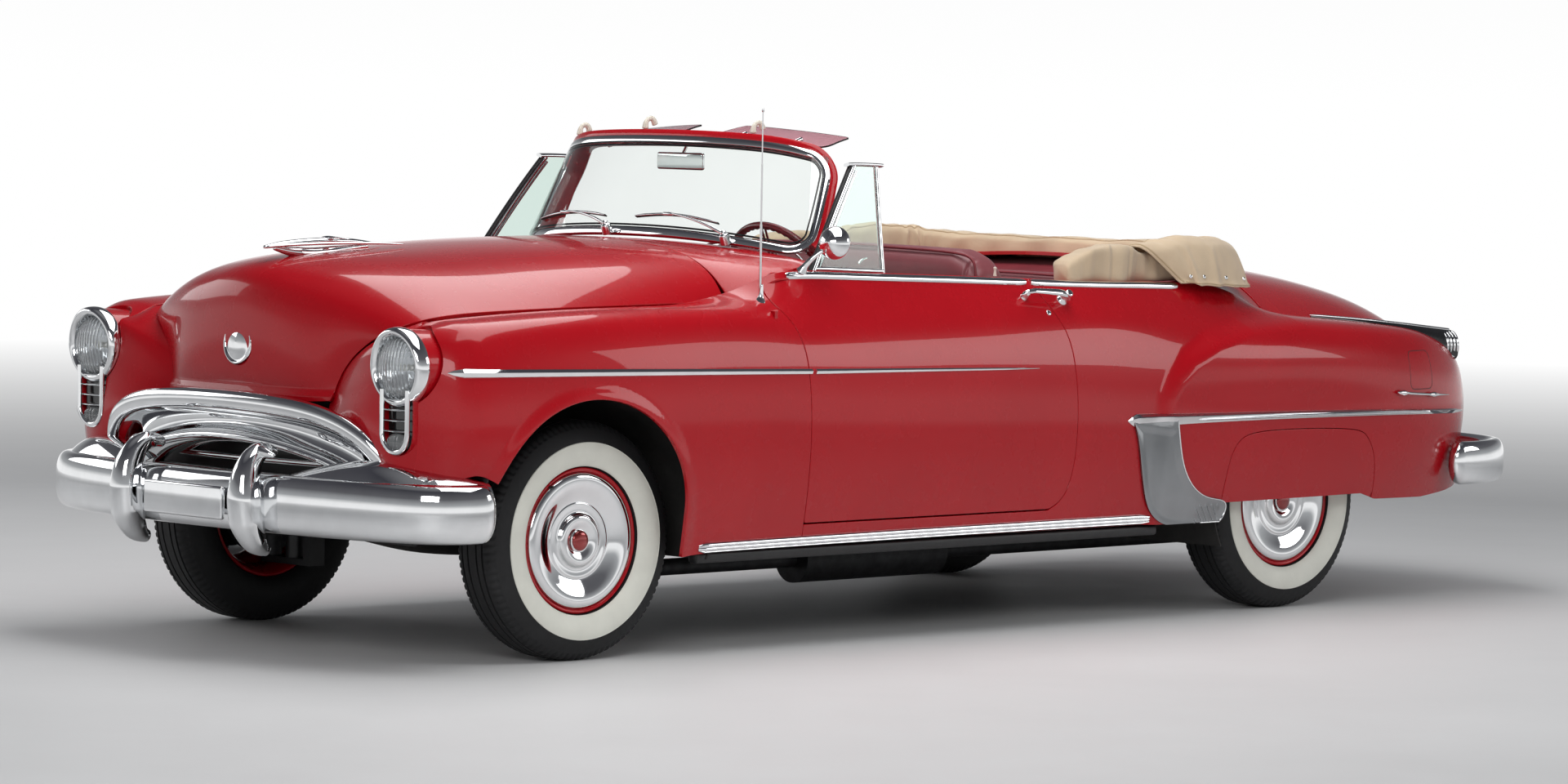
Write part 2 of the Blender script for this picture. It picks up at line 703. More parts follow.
SIDE_SHARES = (
    (-0.132, ((0.955, 0.455), (0.969, 0.490), (0.982, 0.550), (0.976, 0.658), (0.948, 0.767), (0.869, 0.838),
              (0.686, 0.825))),
    (0.000, ((0.962, 0.259), (0.985, 0.383), (1.000, 0.525), (0.993, 0.667), (0.961, 0.783), (0.885, 0.855),
             (0.712, 0.842))),
    (0.132, ((0.958, 0.259), (0.985, 0.383), (1.000, 0.525), (0.993, 0.667), (0.963, 0.783), (0.892, 0.858),
             (0.728, 0.847))),
    (0.221, ((0.958, 0.259), (0.985, 0.383), (1.000, 0.525), (0.993, 0.667), (0.963, 0.779), (0.898, 0.852),
             (0.775, 0.890))),
    (0.257, ((0.958, 0.259), (0.985, 0.383), (1.000, 0.525), (0.991, 0.667), (0.963, 0.775), (0.903, 0.848),
             (0.834, 0.935))),
    (0.362, ((0.958, 0.259), (0.985, 0.383), (1.000, 0.525), (0.989, 0.667), (0.960, 0.770), (0.911, 0.840),
             (0.838, 0.929))),
    (0.500, ((0.958, 0.259), (0.985, 0.383), (0.999, 0.525), (0.986, 0.667), (0.958, 0.764), (0.912, 0.835),
             (0.838, 0.918))),
    (0.633, ((0.958, 0.259), (0.984, 0.383), (0.997, 0.525), (0.984, 0.660), (0.955, 0.755), (0.913, 0.830),
             (0.838, 0.904))),
    (0.725, ((0.958, 0.259), (0.984, 0.383), (0.995, 0.525), (0.980, 0.650), (0.950, 0.750), (0.906, 0.825),
             (0.832, 0.896))),
    (0.824, ((0.958, 0.259), (0.988, 0.383), (1.001, 0.525), (0.990, 0.650), (0.955, 0.740), (0.895, 0.815),
             (0.825, 0.890))),
    (0.923, ((0.956, 0.259), (0.990, 0.383), (1.003, 0.525), (0.995, 0.650), (0.955, 0.735), (0.880, 0.800),
             (0.800, 0.872))),
    (1.010, ((0.956, 0.259), (0.990, 0.383), (1.003, 0.525), (0.995, 0.650), (0.950, 0.735), (0.860, 0.790),
             (0.745, 0.800))),
    (1.120, ((0.945, 0.270), (0.982, 0.385), (0.998, 0.525), (0.985, 0.640), (0.935, 0.725), (0.835, 0.772),
             (0.705, 0.765))),
    (1.219, ((0.915, 0.280), (0.948, 0.400), (0.965, 0.525), (0.950, 0.620), (0.900, 0.700), (0.815, 0.745),
             (0.680, 0.725))),
    (1.290, ((0.860, 0.300), (0.882, 0.410), (0.895, 0.525), (0.885, 0.600), (0.850, 0.665), (0.785, 0.700),
             (0.660, 0.680))),
    (1.318, ((0.775, 0.310), (0.795, 0.420), (0.805, 0.525), (0.797, 0.590), (0.770, 0.640), (0.720, 0.665),
             (0.635, 0.660))),
)
NOSE_SHARES = (
    ((-0.200, 0.815, 0.462), (-0.200, 0.826, 0.502), (-0.200, 0.836, 0.560), (-0.200, 0.832, 0.658),
     (-0.200, 0.815, 0.740), (-0.198, 0.764, 0.800), (-0.188, 0.675, 0.785)),
    ((-0.185, 0.895, 0.460), (-0.185, 0.906, 0.500), (-0.185, 0.915, 0.550), (-0.185, 0.909, 0.658),
     (-0.185, 0.884, 0.752), (-0.182, 0.812, 0.815), (-0.172, 0.675, 0.800)),
    ((-0.162, 0.938, 0.458), (-0.162, 0.948, 0.495), (-0.162, 0.958, 0.550), (-0.162, 0.951, 0.658),
     (-0.162, 0.922, 0.760), (-0.160, 0.847, 0.829), (-0.155, 0.680, 0.815)),
)
HOOD_SHARES = (
    ((-0.194, 0.398, 0.625), (-0.202, 0.314, 0.622), (-0.205, 0.157, 0.620), (-0.206, 0.0, 0.619)),
    ((-0.189, 0.423, 0.696), (-0.203, 0.335, 0.700), (-0.209, 0.168, 0.704), (-0.211, 0.0, 0.707)),
    ((-0.181, 0.512, 0.767), (-0.199, 0.356, 0.792), (-0.209, 0.178, 0.804), (-0.211, 0.0, 0.812)),
    ((-0.165, 0.606, 0.808), (-0.186, 0.419, 0.862), (-0.199, 0.209, 0.890), (-0.205, 0.0, 0.908)),
    ((-0.132, 0.656, 0.832), (-0.152, 0.450, 0.904), (-0.161, 0.220, 0.937), (-0.173, 0.0, 0.952)),
    ((-0.082, 0.671, 0.842), (-0.092, 0.500, 0.920), (-0.099, 0.262, 0.960), (-0.103, 0.0, 0.970)),
    ((-0.013, 0.690, 0.848), (-0.013, 0.530, 0.930), (-0.013, 0.283, 0.975), (-0.013, 0.0, 0.985)),
    ((0.066, 0.702, 0.853), (0.066, 0.560, 0.940), (0.066, 0.304, 0.985), (0.066, 0.0, 0.996)),
    ((0.148, 0.710, 0.856), (0.148, 0.590, 0.945), (0.148, 0.330, 0.992), (0.148, 0.0, 1.001)),
    ((0.2205, 0.712, 0.858), (0.2205, 0.620, 0.948), (0.2205, 0.350, 0.994), (0.2205, 0.0, 1.003)),
)
DECK_SHARES = (
    ((0.905, 0.806, 0.872), (0.905, 0.600, 0.922), (0.905, 0.320, 0.942), (0.905, 0.0, 0.950)),
    ((1.010, 0.737, 0.805), (1.010, 0.580, 0.895), (1.010, 0.300, 0.932), (1.010, 0.0, 0.940)),
    ((1.120, 0.697, 0.769), (1.120, 0.560, 0.858), (1.120, 0.300, 0.905), (1.120, 0.0, 0.915)),
    ((1.219, 0.672, 0.728), (1.219, 0.535, 0.815), (1.219, 0.290, 0.864), (1.219, 0.0, 0.876)),
    ((1.290, 0.652, 0.682), (1.290, 0.512, 0.765), (1.290, 0.280, 0.822), (1.290, 0.0, 0.835)),
    ((1.330, 0.620, 0.640), (1.342, 0.500, 0.700), (1.352, 0.270, 0.752), (1.356, 0.0, 0.768)),
    ((1.345, 0.610, 0.560), (1.360, 0.490, 0.600), (1.374, 0.265, 0.640), (1.380, 0.0, 0.650)),
    ((1.350, 0.600, 0.500), (1.366, 0.485, 0.505), (1.382, 0.262, 0.510), (1.388, 0.0, 0.512)),
)
COWL_SHARES = (
    ((0.223, 0.735, 0.852), (0.223, 0.620, 0.948), (0.223, 0.350, 0.994), (0.223, 0.0, 1.003)),
    ((0.245, 0.760, 0.895), (0.245, 0.640, 0.956), (0.245, 0.360, 0.994), (0.245, 0.0, 1.002)),
    ((0.300, 0.740, 0.945), (0.290, 0.650, 0.962), (0.280, 0.380, 0.992), (0.278, 0.0, 1.000)),
    ((0.345, 0.740, 0.948), (0.320, 0.660, 0.966), (0.303, 0.390, 0.990), (0.297, 0.0, 0.997)),
)
NOSE_INNER_SHARES = ((-0.134, 0.634, 0.822), (-0.160, 0.586, 0.798), (-0.176, 0.492, 0.757),
                     (-0.184, 0.402, 0.688), (-0.190, 0.375, 0.612), (-0.206, 0.455, 0.570),
                     (-0.203, 0.600, 0.525), (-0.194, 0.668, 0.440))
NOSE_OUTER_SHARES = ((-0.155, 0.680, 0.815), (-0.172, 0.675, 0.800), (-0.188, 0.675, 0.785),
                     (-0.198, 0.764, 0.800), (-0.200, 0.815, 0.740), (-0.200, 0.834, 0.610),
                     (-0.200, 0.830, 0.520), (-0.200, 0.815, 0.455))
TAIL_INNER_SHARES = ((1.350, 0.604, 0.495), (1.348, 0.608, 0.530), (1.345, 0.613, 0.560),
                     (1.341, 0.617, 0.590), (1.335, 0.621, 0.620), (1.329, 0.624, 0.642),
                     (1.318, 0.632, 0.664))
TAIL_OUTER_SHARES = ((1.318, 0.790, 0.425), (1.318, 0.800, 0.465), (1.318, 0.805, 0.525),
                     (1.318, 0.797, 0.590), (1.318, 0.770, 0.640), (1.318, 0.720, 0.665),
                     (1.318, 0.640, 0.662))
FRONT_PAN_SHARES = (
    ((-0.165, 0.900, 0.455), (-0.200, 0.700, 0.450), (-0.222, 0.400, 0.440), (-0.228, 0.0, 0.435)),
    ((-0.160, 0.905, 0.370), (-0.198, 0.700, 0.360), (-0.220, 0.400, 0.350), (-0.226, 0.0, 0.345)),
    ((-0.150, 0.880, 0.290), (-0.180, 0.680, 0.270), (-0.200, 0.380, 0.262), (-0.206, 0.0, 0.260)),
)
REAR_PAN_SHARES = (
    ((1.320, 0.770, 0.480), (1.345, 0.600, 0.490), (1.368, 0.380, 0.495), (1.378, 0.0, 0.498)),
    ((1.315, 0.770, 0.430), (1.342, 0.600, 0.430), (1.366, 0.380, 0.430), (1.376, 0.0, 0.430)),
    ((1.300, 0.740, 0.360), (1.326, 0.580, 0.355), (1.350, 0.370, 0.350), (1.360, 0.0, 0.350)),
)
DOOR_FRONT_SHARES = ((0.244, 0.990), (0.243, 0.935), (0.236, 0.900), (0.235, 0.855), (0.250, 0.805),
                     (0.258, 0.680), (0.258, 0.480), (0.258, 0.313))
DOOR_REAR_SHARES = ((0.606, 0.960), (0.607, 0.904), (0.630, 0.798), (0.637, 0.700), (0.637, 0.490),
                    (0.630, 0.370), (0.618, 0.330), (0.604, 0.313))
SKIRT_SHARES = ((0.862, 0.300), (0.866, 0.410), (0.880, 0.465), (0.915, 0.495), (1.055, 0.490),
                (1.085, 0.465), (1.105, 0.400), (1.110, 0.300))
ARCH_CENTRE_SHARES = (-0.021, 0.360)
ARCH_RADIUS_SHARES = (0.119, 0.282)
HEADLAMP = spot(0.764, -0.214, 0.718)
LAMP_REACH = 0.118
INSERT_FOOT = 0.678
GAP = 0.0030


def yz(table):
    return np.array([(at(y), z * COWL) for y, z in table])


def smooth_line(table, count=40):
    return curve(yz(table), count)


DOOR_FRONT = smooth_line(DOOR_FRONT_SHARES)
DOOR_REAR = smooth_line(DOOR_REAR_SHARES)
DOOR_OUTLINE = np.concatenate(([(DOOR_FRONT[0][0], 1.4)], DOOR_FRONT, DOOR_REAR[::-1],
                               [(DOOR_REAR[0][0], 1.4)]))
AHEAD_OUTLINE = np.concatenate(([(-4.0, 1.4), (DOOR_FRONT[0][0], 1.4)], DOOR_FRONT[:-1],
                                [(DOOR_FRONT[-1][0], 0.0), (-4.0, 0.0)]))
SKIRT_LINE = smooth_line(SKIRT_SHARES, 60)
SKIRT_OUTLINE = np.concatenate(([(SKIRT_LINE[0][0], 0.1)], SKIRT_LINE, [(SKIRT_LINE[-1][0], 0.1)]))
BULGE_OUTLINE = np.array(((0.545, 0.20), (0.550, 0.500), (0.560, 0.640), (0.590, 0.735), (0.640, 0.800),
                          (0.720, 0.865), (0.850, 0.922), (1.050, 0.965), (1.330, 0.975), (1.660, 0.955),
                          (2.000, 0.930), (2.450, 0.850), (2.450, 0.20)))


def fender_swell(p):
    """How far the rear fender stands out, and a faint flare round the front wheel opening."""
    inside = distance(p[..., 1:], BULGE_OUTLINE)
    tall = 0.013 + 0.020 * smoothstep((p[..., 2] - 0.66) / 0.22)
    fade = smoothstep((2.42 - p[..., 1]) / 0.55)
    rear = tall * smoothstep(inside / 0.085) * fade
    arch = arch_distance(p)
    lip = 0.007 * (1 - smoothstep(arch / 0.045)) * (p[..., 1] < -1.2)
    return np.where(p[..., 1] > 0.4, rear, lip)


def arch_distance(p):
    """Distance outside the front wheel opening, roughly in metres."""
    y = (p[..., 1] - at(ARCH_CENTRE_SHARES[0])) / (ARCH_RADIUS_SHARES[0] * WHEELBASE)
    z = np.maximum(p[..., 2] - ARCH_CENTRE_SHARES[1] * COWL, 0) / (ARCH_RADIUS_SHARES[1] * COWL)
    return (np.sqrt(y * y + z * z) - 1) * 0.35


SIDE_ROWS = [[spot(x, y, z) for y, x, z in row] for row in NOSE_SHARES]
SIDE_ROWS += [[spot(x, y, z) for x, z in points] for y, points in SIDE_SHARES]
SIDE = Surface(SIDE_ROWS, fender_swell)


def share_at(y):
    low, high = 0.0, 1.0
    for _ in range(SHARE_HALVINGS):
        mid = (low + high) / 2
        if SIDE.plain(np.array(mid), np.array(0.5))[1] < y:
            low = mid
        else:
            high = mid
    return low


def bezel_distance(p):
    """Distance outside the headlamp's ring and the parking lamp's insert below it, seen from the front."""
    ring = np.hypot(p[..., 0] - HEADLAMP[0], p[..., 2] - HEADLAMP[2]) - 0.117
    foot = np.minimum(p[..., 2] - INSERT_FOOT, 0)
    box = np.hypot(p[..., 0] - HEADLAMP[0], foot) - 0.065
    box = np.where(p[..., 2] > HEADLAMP[2], 1.0, box)
    return np.where(p[..., 1] < -2.1, np.minimum(ring, box), 1.0)


def keep_front(p):
    return np.minimum.reduce((distance(p[..., 1:], AHEAD_OUTLINE) - GAP, arch_distance(p),
                              bezel_distance(p) - 0.002))


def keep_door(p):
    return distance(p[..., 1:], DOOR_OUTLINE) - GAP


def keep_quarter(p):
    door = -distance(p[..., 1:], DOOR_OUTLINE) - GAP
    skirt = -distance(p[..., 1:], SKIRT_OUTLINE) - GAP
    behind = p[..., 1] - (DOOR_FRONT[-1][0] + GAP)
    low = np.where(p[..., 1] > 0.80, p[..., 2] - low_edge(p), 1.0)
    return np.minimum.reduce((door, skirt, behind, low, np.where(p[..., 1] < 0.13, 0.3695 - p[..., 2], 1.0)))


def keep_skirt(p):
    return np.minimum(distance(p[..., 1:], SKIRT_OUTLINE) - GAP, p[..., 2] - low_edge(p))


def low_edge(p):
    """The height of the rear fender's lower edge."""
    return np.interp(p[..., 1], (0.78, 0.93, 1.60, 1.68, 1.95, 2.12, 2.30),
                     (0.30, 0.368, 0.372, 0.350, 0.345, 0.358, 0.38))


ROWS = shares(86)
u_front = share_at(-0.88)
front_side = panel_mesh(SIDE, np.linspace(0, u_front, 180), ROWS, keep_front)
piece("front_fender_skin", both(front_side), RED, "body", "body_paint", ("front_fenders",))
door_side = panel_mesh(SIDE, np.linspace(share_at(-1.02), share_at(0.26), 130), ROWS, keep_door, depth=0.088)
piece("door_skin_left", door_side, RED, "door_left", "body_paint", ("door_left",))
piece("door_skin_right", mirror_x(door_side), RED, "door_right", "body_paint", ("door_right",))
quarter_side = panel_mesh(SIDE, np.linspace(share_at(-0.95), 1, 330), ROWS, keep_quarter)
piece("rear_quarter_skin", both(quarter_side), RED, "body", "body_paint", ("rear_quarters", "rocker_panels"))
skirt_side = panel_mesh(SIDE, np.linspace(share_at(0.85), share_at(1.70), 110), ROWS[:60], keep_skirt)
piece("fender_skirt_skin", both(skirt_side), RED, "body", "body_paint", ("fender_skirts",))


def full_width(table):
    return [full_row([spot(x, y, z) for y, x, z in row]) for row in table]


def hood_lip(p):
    """The turned lower edge of the nose, and a soft rise along the middle."""
    front = smoothstep((-2.24 - p[..., 1]) / 0.02)
    return 0.010 * smoothstep((0.778 - p[..., 2]) / 0.016) * front


HOOD = Surface(full_width(HOOD_SHARES), hood_lip)
piece("hood_skin", panel_mesh(HOOD, shares(190), shares(120)), RED, "hood", "body_paint",
      ("hood",))
DECK = Surface(full_width(DECK_SHARES[1:]))
piece("deck_lid_skin", panel_mesh(DECK, shares(120), shares(90)), RED, "deck_lid", "body_paint",
      ("deck_lid",))
TONNEAU = Surface(full_width(DECK_SHARES[:2]))
piece("rear_deck_skin", panel_mesh(TONNEAU, np.linspace(0, 0.93, 20), shares(70)), RED, "body",
      "body_paint", ("rear_deck_panel",))
COWL_TOP = Surface(full_width(COWL_SHARES))
piece("cowl_skin", panel_mesh(COWL_TOP, shares(40), shares(90)), RED, "body", "body_paint")


def strip(inner, outer, bulge, steps):
    rows = []
    for near, far in zip(inner, outer):
        row = []
        for step in range(steps + 1):
            t = step / steps
            y, x, z = [a + (b - a) * t for a, b in zip(near, far)]
            row.append(spot(x, y + bulge * math.sin(math.pi * t), z))
        rows.append(row)
    return rows


NOSE = Surface(strip(NOSE_INNER_SHARES, NOSE_OUTER_SHARES, -0.008, 5))
nose = panel_mesh(NOSE, shares(110), shares(70), lambda p: bezel_distance(p) - 0.001)
piece("nose_skin", both(nose), RED, "body", "body_paint", ("nose_panels",))
TAIL = Surface(strip(TAIL_INNER_SHARES, TAIL_OUTER_SHARES, 0.006, 3))
tail = panel_mesh(TAIL, shares(50), shares(40), flip=True)
piece("tail_skin", both(tail), RED, "body", "body_paint", ("tail_panels",))
FRONT_PAN = Surface(full_width(FRONT_PAN_SHARES))
REAR_PAN = Surface(full_width(REAR_PAN_SHARES))
piece("front_pan_skin", panel_mesh(FRONT_PAN, shares(40), shares(90),
                                   lambda p: p[..., 2] - 0.378), RED, "body",
      "body_paint", ("splash_pans",))
piece("rear_pan_skin", panel_mesh(REAR_PAN, shares(24), shares(90), flip=True), RED, "body",
      "body_paint")

# A turned flange under the hood's edge and beside the cowl closes the joint between the panels.
VALLEY_SHARES = (
    ((-0.134, 0.630, 0.822), (-0.134, 0.700, 0.828)), ((-0.082, 0.645, 0.832), (-0.082, 0.715, 0.836)),
    ((-0.013, 0.664, 0.838), (-0.013, 0.735, 0.840)), ((0.066, 0.676, 0.843), (0.066, 0.745, 0.843)),
    ((0.132, 0.684, 0.846), (0.132, 0.755, 0.846)), ((0.175, 0.690, 0.850), (0.175, 0.775, 0.860)),
    ((0.2205, 0.695, 0.860), (0.2205, 0.800, 0.884)), ((0.245, 0.715, 0.894), (0.245, 0.835, 0.912)),
    ((0.257, 0.720, 0.915), (0.257, 0.848, 0.924)), ((0.300, 0.725, 0.935), (0.300, 0.850, 0.926)),
    ((0.345, 0.730, 0.938), (0.345, 0.850, 0.924)),
)
VALLEY = Surface([[spot(a[1] + (c[1] - a[1]) * t, a[0], a[2] + (c[2] - a[2]) * t - 0.0045) for t in shares(4)]
                  for a, c in VALLEY_SHARES])
valley = panel_mesh(VALLEY, shares(90), shares(14), None, 0.006, 0.0015,
                    flip=faces_down(VALLEY))
piece("fender_valleys", both(valley), RED, "body", "body_paint")

# Wheels and tyres.

TRACK = {"front": 0.724, "rear": 0.7495}
WALL = np.array(((0.0635, 0.2030), (0.0640, 0.2135), (0.0760, 0.2150), (0.0860, 0.2225), (0.0945, 0.2380),
                 (0.0990, 0.2560), (0.0998, 0.2720), (0.0975, 0.2870), (0.0930, 0.3010), (0.0870, 0.3150),
                 (0.0800, 0.3280), (0.0720, 0.3390), (0.0640, 0.3455), (0.0560, 0.3485)))
TREAD = ((0.0470, 0.3492), (0.0460, 0.3430), (0.0410, 0.3430), (0.0400, 0.3496), (0.0220, 0.3499),
         (0.0210, 0.3436), (0.0160, 0.3436), (0.0150, 0.3500), (0.0, 0.3500))


def tyre_profile():
    wall = curve(WALL, 46)
    half = [tuple(p) for p in wall] + list(TREAD)
    return half + [(-a, r) for a, r in half[:-1][::-1]]


def saw_teeth(turn, along, radius):
    """Notches cut into the tread's shoulders all round the tyre."""
    shoulder = smoothstep((np.abs(along) - 0.050) / 0.006) * smoothstep((radius - 0.328) / 0.006)
    wave = (turn * 96 / (2 * math.pi) + 0.25 * np.sign(along)) % 1.0
    notch = (wave < 0.42).astype(float)
    return -0.0042 * shoulder * notch


def white_band(centre, axis):
    wall = curve(WALL, 120)
    band = [p for p in wall if 0.2175 < p[1] < 0.2860 and p[0] > 0.07]
    out = [(a + 0.0016, r) for a, r in band]
    low = [(out[0][0] - 0.003, out[0][1] - 0.0012)]
    high = [(out[-1][0] + 0.0006, out[-1][1] + 0.0008), (out[-1][0] - 0.001, out[-1][1] + 0.0022),
            (out[-1][0] - 0.004, out[-1][1] + 0.0022)]
    return lathe(low + out + high, centre, axis, 128, closed=True)


RIM = ((0.0560, 0.1975), (0.0600, 0.2030), (0.0640, 0.2062), (0.0652, 0.2118), (0.0700, 0.2128),
       (0.0738, 0.2098), (0.0742, 0.2060), (0.0700, 0.2010), (0.0620, 0.1975), (0.0480, 0.1900),
       (0.0200, 0.1800), (-0.0300, 0.1820), (-0.0560, 0.1940), (-0.0700, 0.2010), (-0.0742, 0.2060),
       (-0.0738, 0.2098), (-0.0700, 0.2128), (-0.0652, 0.2118), (-0.0640, 0.2062), (-0.0560, 0.2000),
       (-0.0300, 0.1870), (0.0200, 0.1850))
DISC = ((0.0740, 0.0005), (0.0738, 0.0120), (0.0728, 0.0210), (0.0715, 0.0270), (0.0700, 0.0300),
        (0.0690, 0.0312), (0.0688, 0.0345), (0.0705, 0.0400), (0.0735, 0.0480), (0.0755, 0.0560),
        (0.0762, 0.0630), (0.0750, 0.0700), (0.0715, 0.0750), (0.0660, 0.0775), (0.0630, 0.0800),
        (0.0618, 0.0850), (0.0620, 0.0930), (0.0632, 0.1010), (0.0638, 0.1070), (0.0628, 0.1100),
        (0.0622, 0.1130), (0.0640, 0.1200), (0.0690, 0.1350), (0.0745, 0.1500), (0.0785, 0.1640),
        (0.0800, 0.1760), (0.0792, 0.1860), (0.0762, 0.1935), (0.0715, 0.1975), (0.0660, 0.1985),
        (0.0630, 0.1975), (0.0625, 0.1950), (0.0670, 0.1930), (0.0600, 0.1700), (0.0560, 0.1000),
        (0.0560, 0.0005))
DOME = ((0.0725, 0.0300), (0.0760, 0.0290), (0.0785, 0.0250), (0.0810, 0.0180), (0.0822, 0.0090),
        (0.0825, 0.0004))


def dense(profile):
    """Three times as many points along a turned profile, smoothly."""
    return curve(profile, len(profile) * 3)


def fit_wheel(end, side, sign):
    label = end + "_" + side
    body = "wheel_" + label
    centre = (sign * TRACK[end], FRONT_Y if end == "front" else REAR_Y, HUB_Z)
    axis = (sign, 0, 0)
    tyre = lathe(tyre_profile(), centre, axis, 480, ripple=saw_teeth)
    piece("tyre_dressed_" + label, tyre, RUBBER, body, "tyre", ("tyre_" + label,), sharp=42)
    piece("whitewall_" + label, white_band(centre, axis), WHITE_RUBBER, body, "tyre", sharp=60)
    piece("rim_dressed_" + label, lathe(RIM, centre, axis, 128, closed=True), RED, body, "wheel_paint",
          ("wheel_" + label,), sharp=50)
    piece("wheel_disc_" + label, lathe(dense(DISC), centre, axis, 160), CHROME, body, "chrome", sharp=50)
    piece("wheel_dome_" + label, lathe(dense(DOME), centre, axis, 64), DOME_RED, body, "chrome", sharp=50)
    valve = np.asarray(centre) + (sign * 0.062, -0.118, 0.160)
    stem = sweep([valve, valve + (sign * 0.012, 0, 0), valve + (sign * 0.024, 0, 0)], oval(0.004, 0.004, 12),
                 round_ends=0.002)
    piece("valve_" + label, stem, BLACK, body, "steel")


DOME_RED = basic("badge_enamel", (0.30, 0.02, 0.02), metallic=0.6, rough=(0.12, 0.2), coat=1.0, tone=0.15)
for end in ("front", "rear"):
    for side, sign in (("left", 1), ("right", -1)):
        fit_wheel(end, side, sign)

# The front: grille, bumper and lamps.

ARCH_LINE = ((0.662, -2.285, 0.505), (0.655, -2.300, 0.548), (0.628, -2.325, 0.600), (0.575, -2.352, 0.655),
             (0.480, -2.375, 0.698), (0.350, -2.390, 0.722), (0.180, -2.398, 0.733), (0.0, -2.400, 0.736))
DEEP_LINE = ((0.600, -2.255, 0.500), (0.598, -2.260, 0.530), (0.575, -2.270, 0.565), (0.520, -2.285, 0.605),
             (0.430, -2.300, 0.638), (0.310, -2.312, 0.662), (0.160, -2.320, 0.676), (0.0, -2.322, 0.680))
LIP_LINE = ((0.585, -2.300, 0.505), (0.570, -2.318, 0.520), (0.520, -2.338, 0.548), (0.430, -2.352, 0.578),
            (0.330, -2.362, 0.600), (0.220, -2.372, 0.618), (0.110, -2.378, 0.628), (0.0, -2.380, 0.631))
FOOT_LINE = ((0.560, -2.270, 0.500), (0.545, -2.280, 0.505), (0.495, -2.300, 0.525), (0.410, -2.318, 0.552),
             (0.315, -2.330, 0.574), (0.210, -2.340, 0.592), (0.105, -2.346, 0.602), (0.0, -2.348, 0.605))


def across_car(line, count=90):
    return curve(full_row(line), count)


arch_path = across_car(ARCH_LINE)
fat = 0.8 + 0.2 * smoothstep(1.6 - np.abs(arch_path[:, 0]) / 0.45)
bright("grille_arch", sweep(arch_path, oval(0.026, 0.031, 28, 0.9), UP, fat, 0.02),
       ("grille",), sharp=50)
SHELL = Surface([full_row(line) for line in (ARCH_LINE, DEEP_LINE, LIP_LINE)])
bright("grille_shell", panel_mesh(SHELL, shares(30), shares(110), depth=0.002, lip=0.0010))
lip_path = across_car(LIP_LINE)
bright("grille_lip", sweep(lip_path, oval(0.020, 0.014, 22), UP, None, 0.012), sharp=50)
DEEP_FOOT_LINE = [(x * 0.98, y + 0.14, z - 0.01) for x, y, z in FOOT_LINE]
THROAT = Surface([full_row(line) for line in (LIP_LINE, FOOT_LINE, DEEP_FOOT_LINE)])
bright("grille_throat", panel_mesh(THROAT, shares(24), shares(90), depth=0.002, lip=0.0010))
backing = rounded_box((-0.62, -2.190, 0.340), (0.62, -2.165, 0.640), 0.010)
piece("grille_backing", backing, BLACK, "body", "chassis_black", sharp=40)
for n, (height, half) in enumerate(((0.560, 0.40), (0.515, 0.50))):
    bar_line = [(half - 2 * half * t, -2.285 + 0.03 * (2 * t - 1) ** 2, height) for t in shares(25)]
    bright("grille_bar_%d" % n, sweep(bar_line, oval(0.012, 0.010, 18), UP, None, 0.01),
           sharp=50)


def bumper_section(half_depth, half_height, count=44):
    """A rolled bar: a broad gently rounded face, tighter top and bottom edges and a flat back."""
    turn = around(count)
    c, s = np.cos(turn), np.sin(turn)
    side = np.sign(c) * np.abs(c) ** 0.75 * half_depth
    rise = np.sign(s) * np.abs(s) ** 0.80 * half_height
    return np.stack((side, rise), -1)


BUMPER_LINE = ((0.905, -2.185, 0.452), (0.902, -2.215, 0.452), (0.880, -2.285, 0.453), (0.820, -2.345, 0.454),
               (0.690, -2.400, 0.455), (0.480, -2.440, 0.455), (0.240, -2.462, 0.455), (0.0, -2.468, 0.455))
bumper_path = across_car(BUMPER_LINE, 150)
bright("front_bumper_bar", sweep(bumper_path, bumper_section(0.044, 0.085), UP, None, 0.050, 10),
       ("front_bumper",), sharp=55)
SHELF_FRONT = ((0.935, -2.150, 0.480), (0.936, -2.200, 0.484), (0.908, -2.290, 0.492), (0.838, -2.362, 0.504),
               (0.740, -2.402, 0.515), (0.600, -2.430, 0.522), (0.450, -2.448, 0.522), (0.330, -2.458, 0.518))
SHELF_CREST = ((0.915, -2.148, 0.535), (0.910, -2.190, 0.542), (0.876, -2.262, 0.556), (0.806, -2.325, 0.568),
               (0.716, -2.368, 0.580), (0.600, -2.394, 0.584), (0.470, -2.408, 0.572), (0.345, -2.416, 0.545))
SHELF_BACK = ((0.880, -2.146, 0.545), (0.872, -2.180, 0.554), (0.840, -2.232, 0.568), (0.772, -2.284, 0.580),
              (0.696, -2.320, 0.590), (0.600, -2.342, 0.594), (0.480, -2.352, 0.578), (0.360, -2.360, 0.548))
SHELF = Surface([[np.array(p) for p in line] for line in (SHELF_FRONT, SHELF_CREST, SHELF_BACK)])
shelf = panel_mesh(SHELF, shares(26), shares(90), depth=0.003, lip=0.0015)
bright("gravel_shield", both(shelf))

GUARD_LINE = ((0.285, -2.462, 0.322), (0.285, -2.490, 0.335), (0.284, -2.520, 0.375), (0.282, -2.533, 0.430),
              (0.280, -2.536, 0.490), (0.278, -2.526, 0.545), (0.275, -2.500, 0.588), (0.270, -2.462, 0.608),
              (0.266, -2.425, 0.600))
guard_path = curve(GUARD_LINE, 60)
t = shares(60)
wide = np.interp(t, (0, 0.08, 0.25, 0.45, 0.65, 0.82, 0.93, 1),
                 (0.35, 0.72, 1.0, 1.0, 0.78, 0.62, 0.52, 0.34))
deep = np.interp(t, (0, 0.08, 0.25, 0.45, 0.65, 0.82, 0.93, 1),
                 (0.40, 0.70, 1.0, 1.0, 0.85, 0.66, 0.52, 0.34))
guard = sweep(guard_path, oval(0.046, 0.050, 36, 0.9), (0, -1, 0), np.stack((wide, deep), -1), 0.016, 8)
bright("front_guards", both(guard), sharp=60)
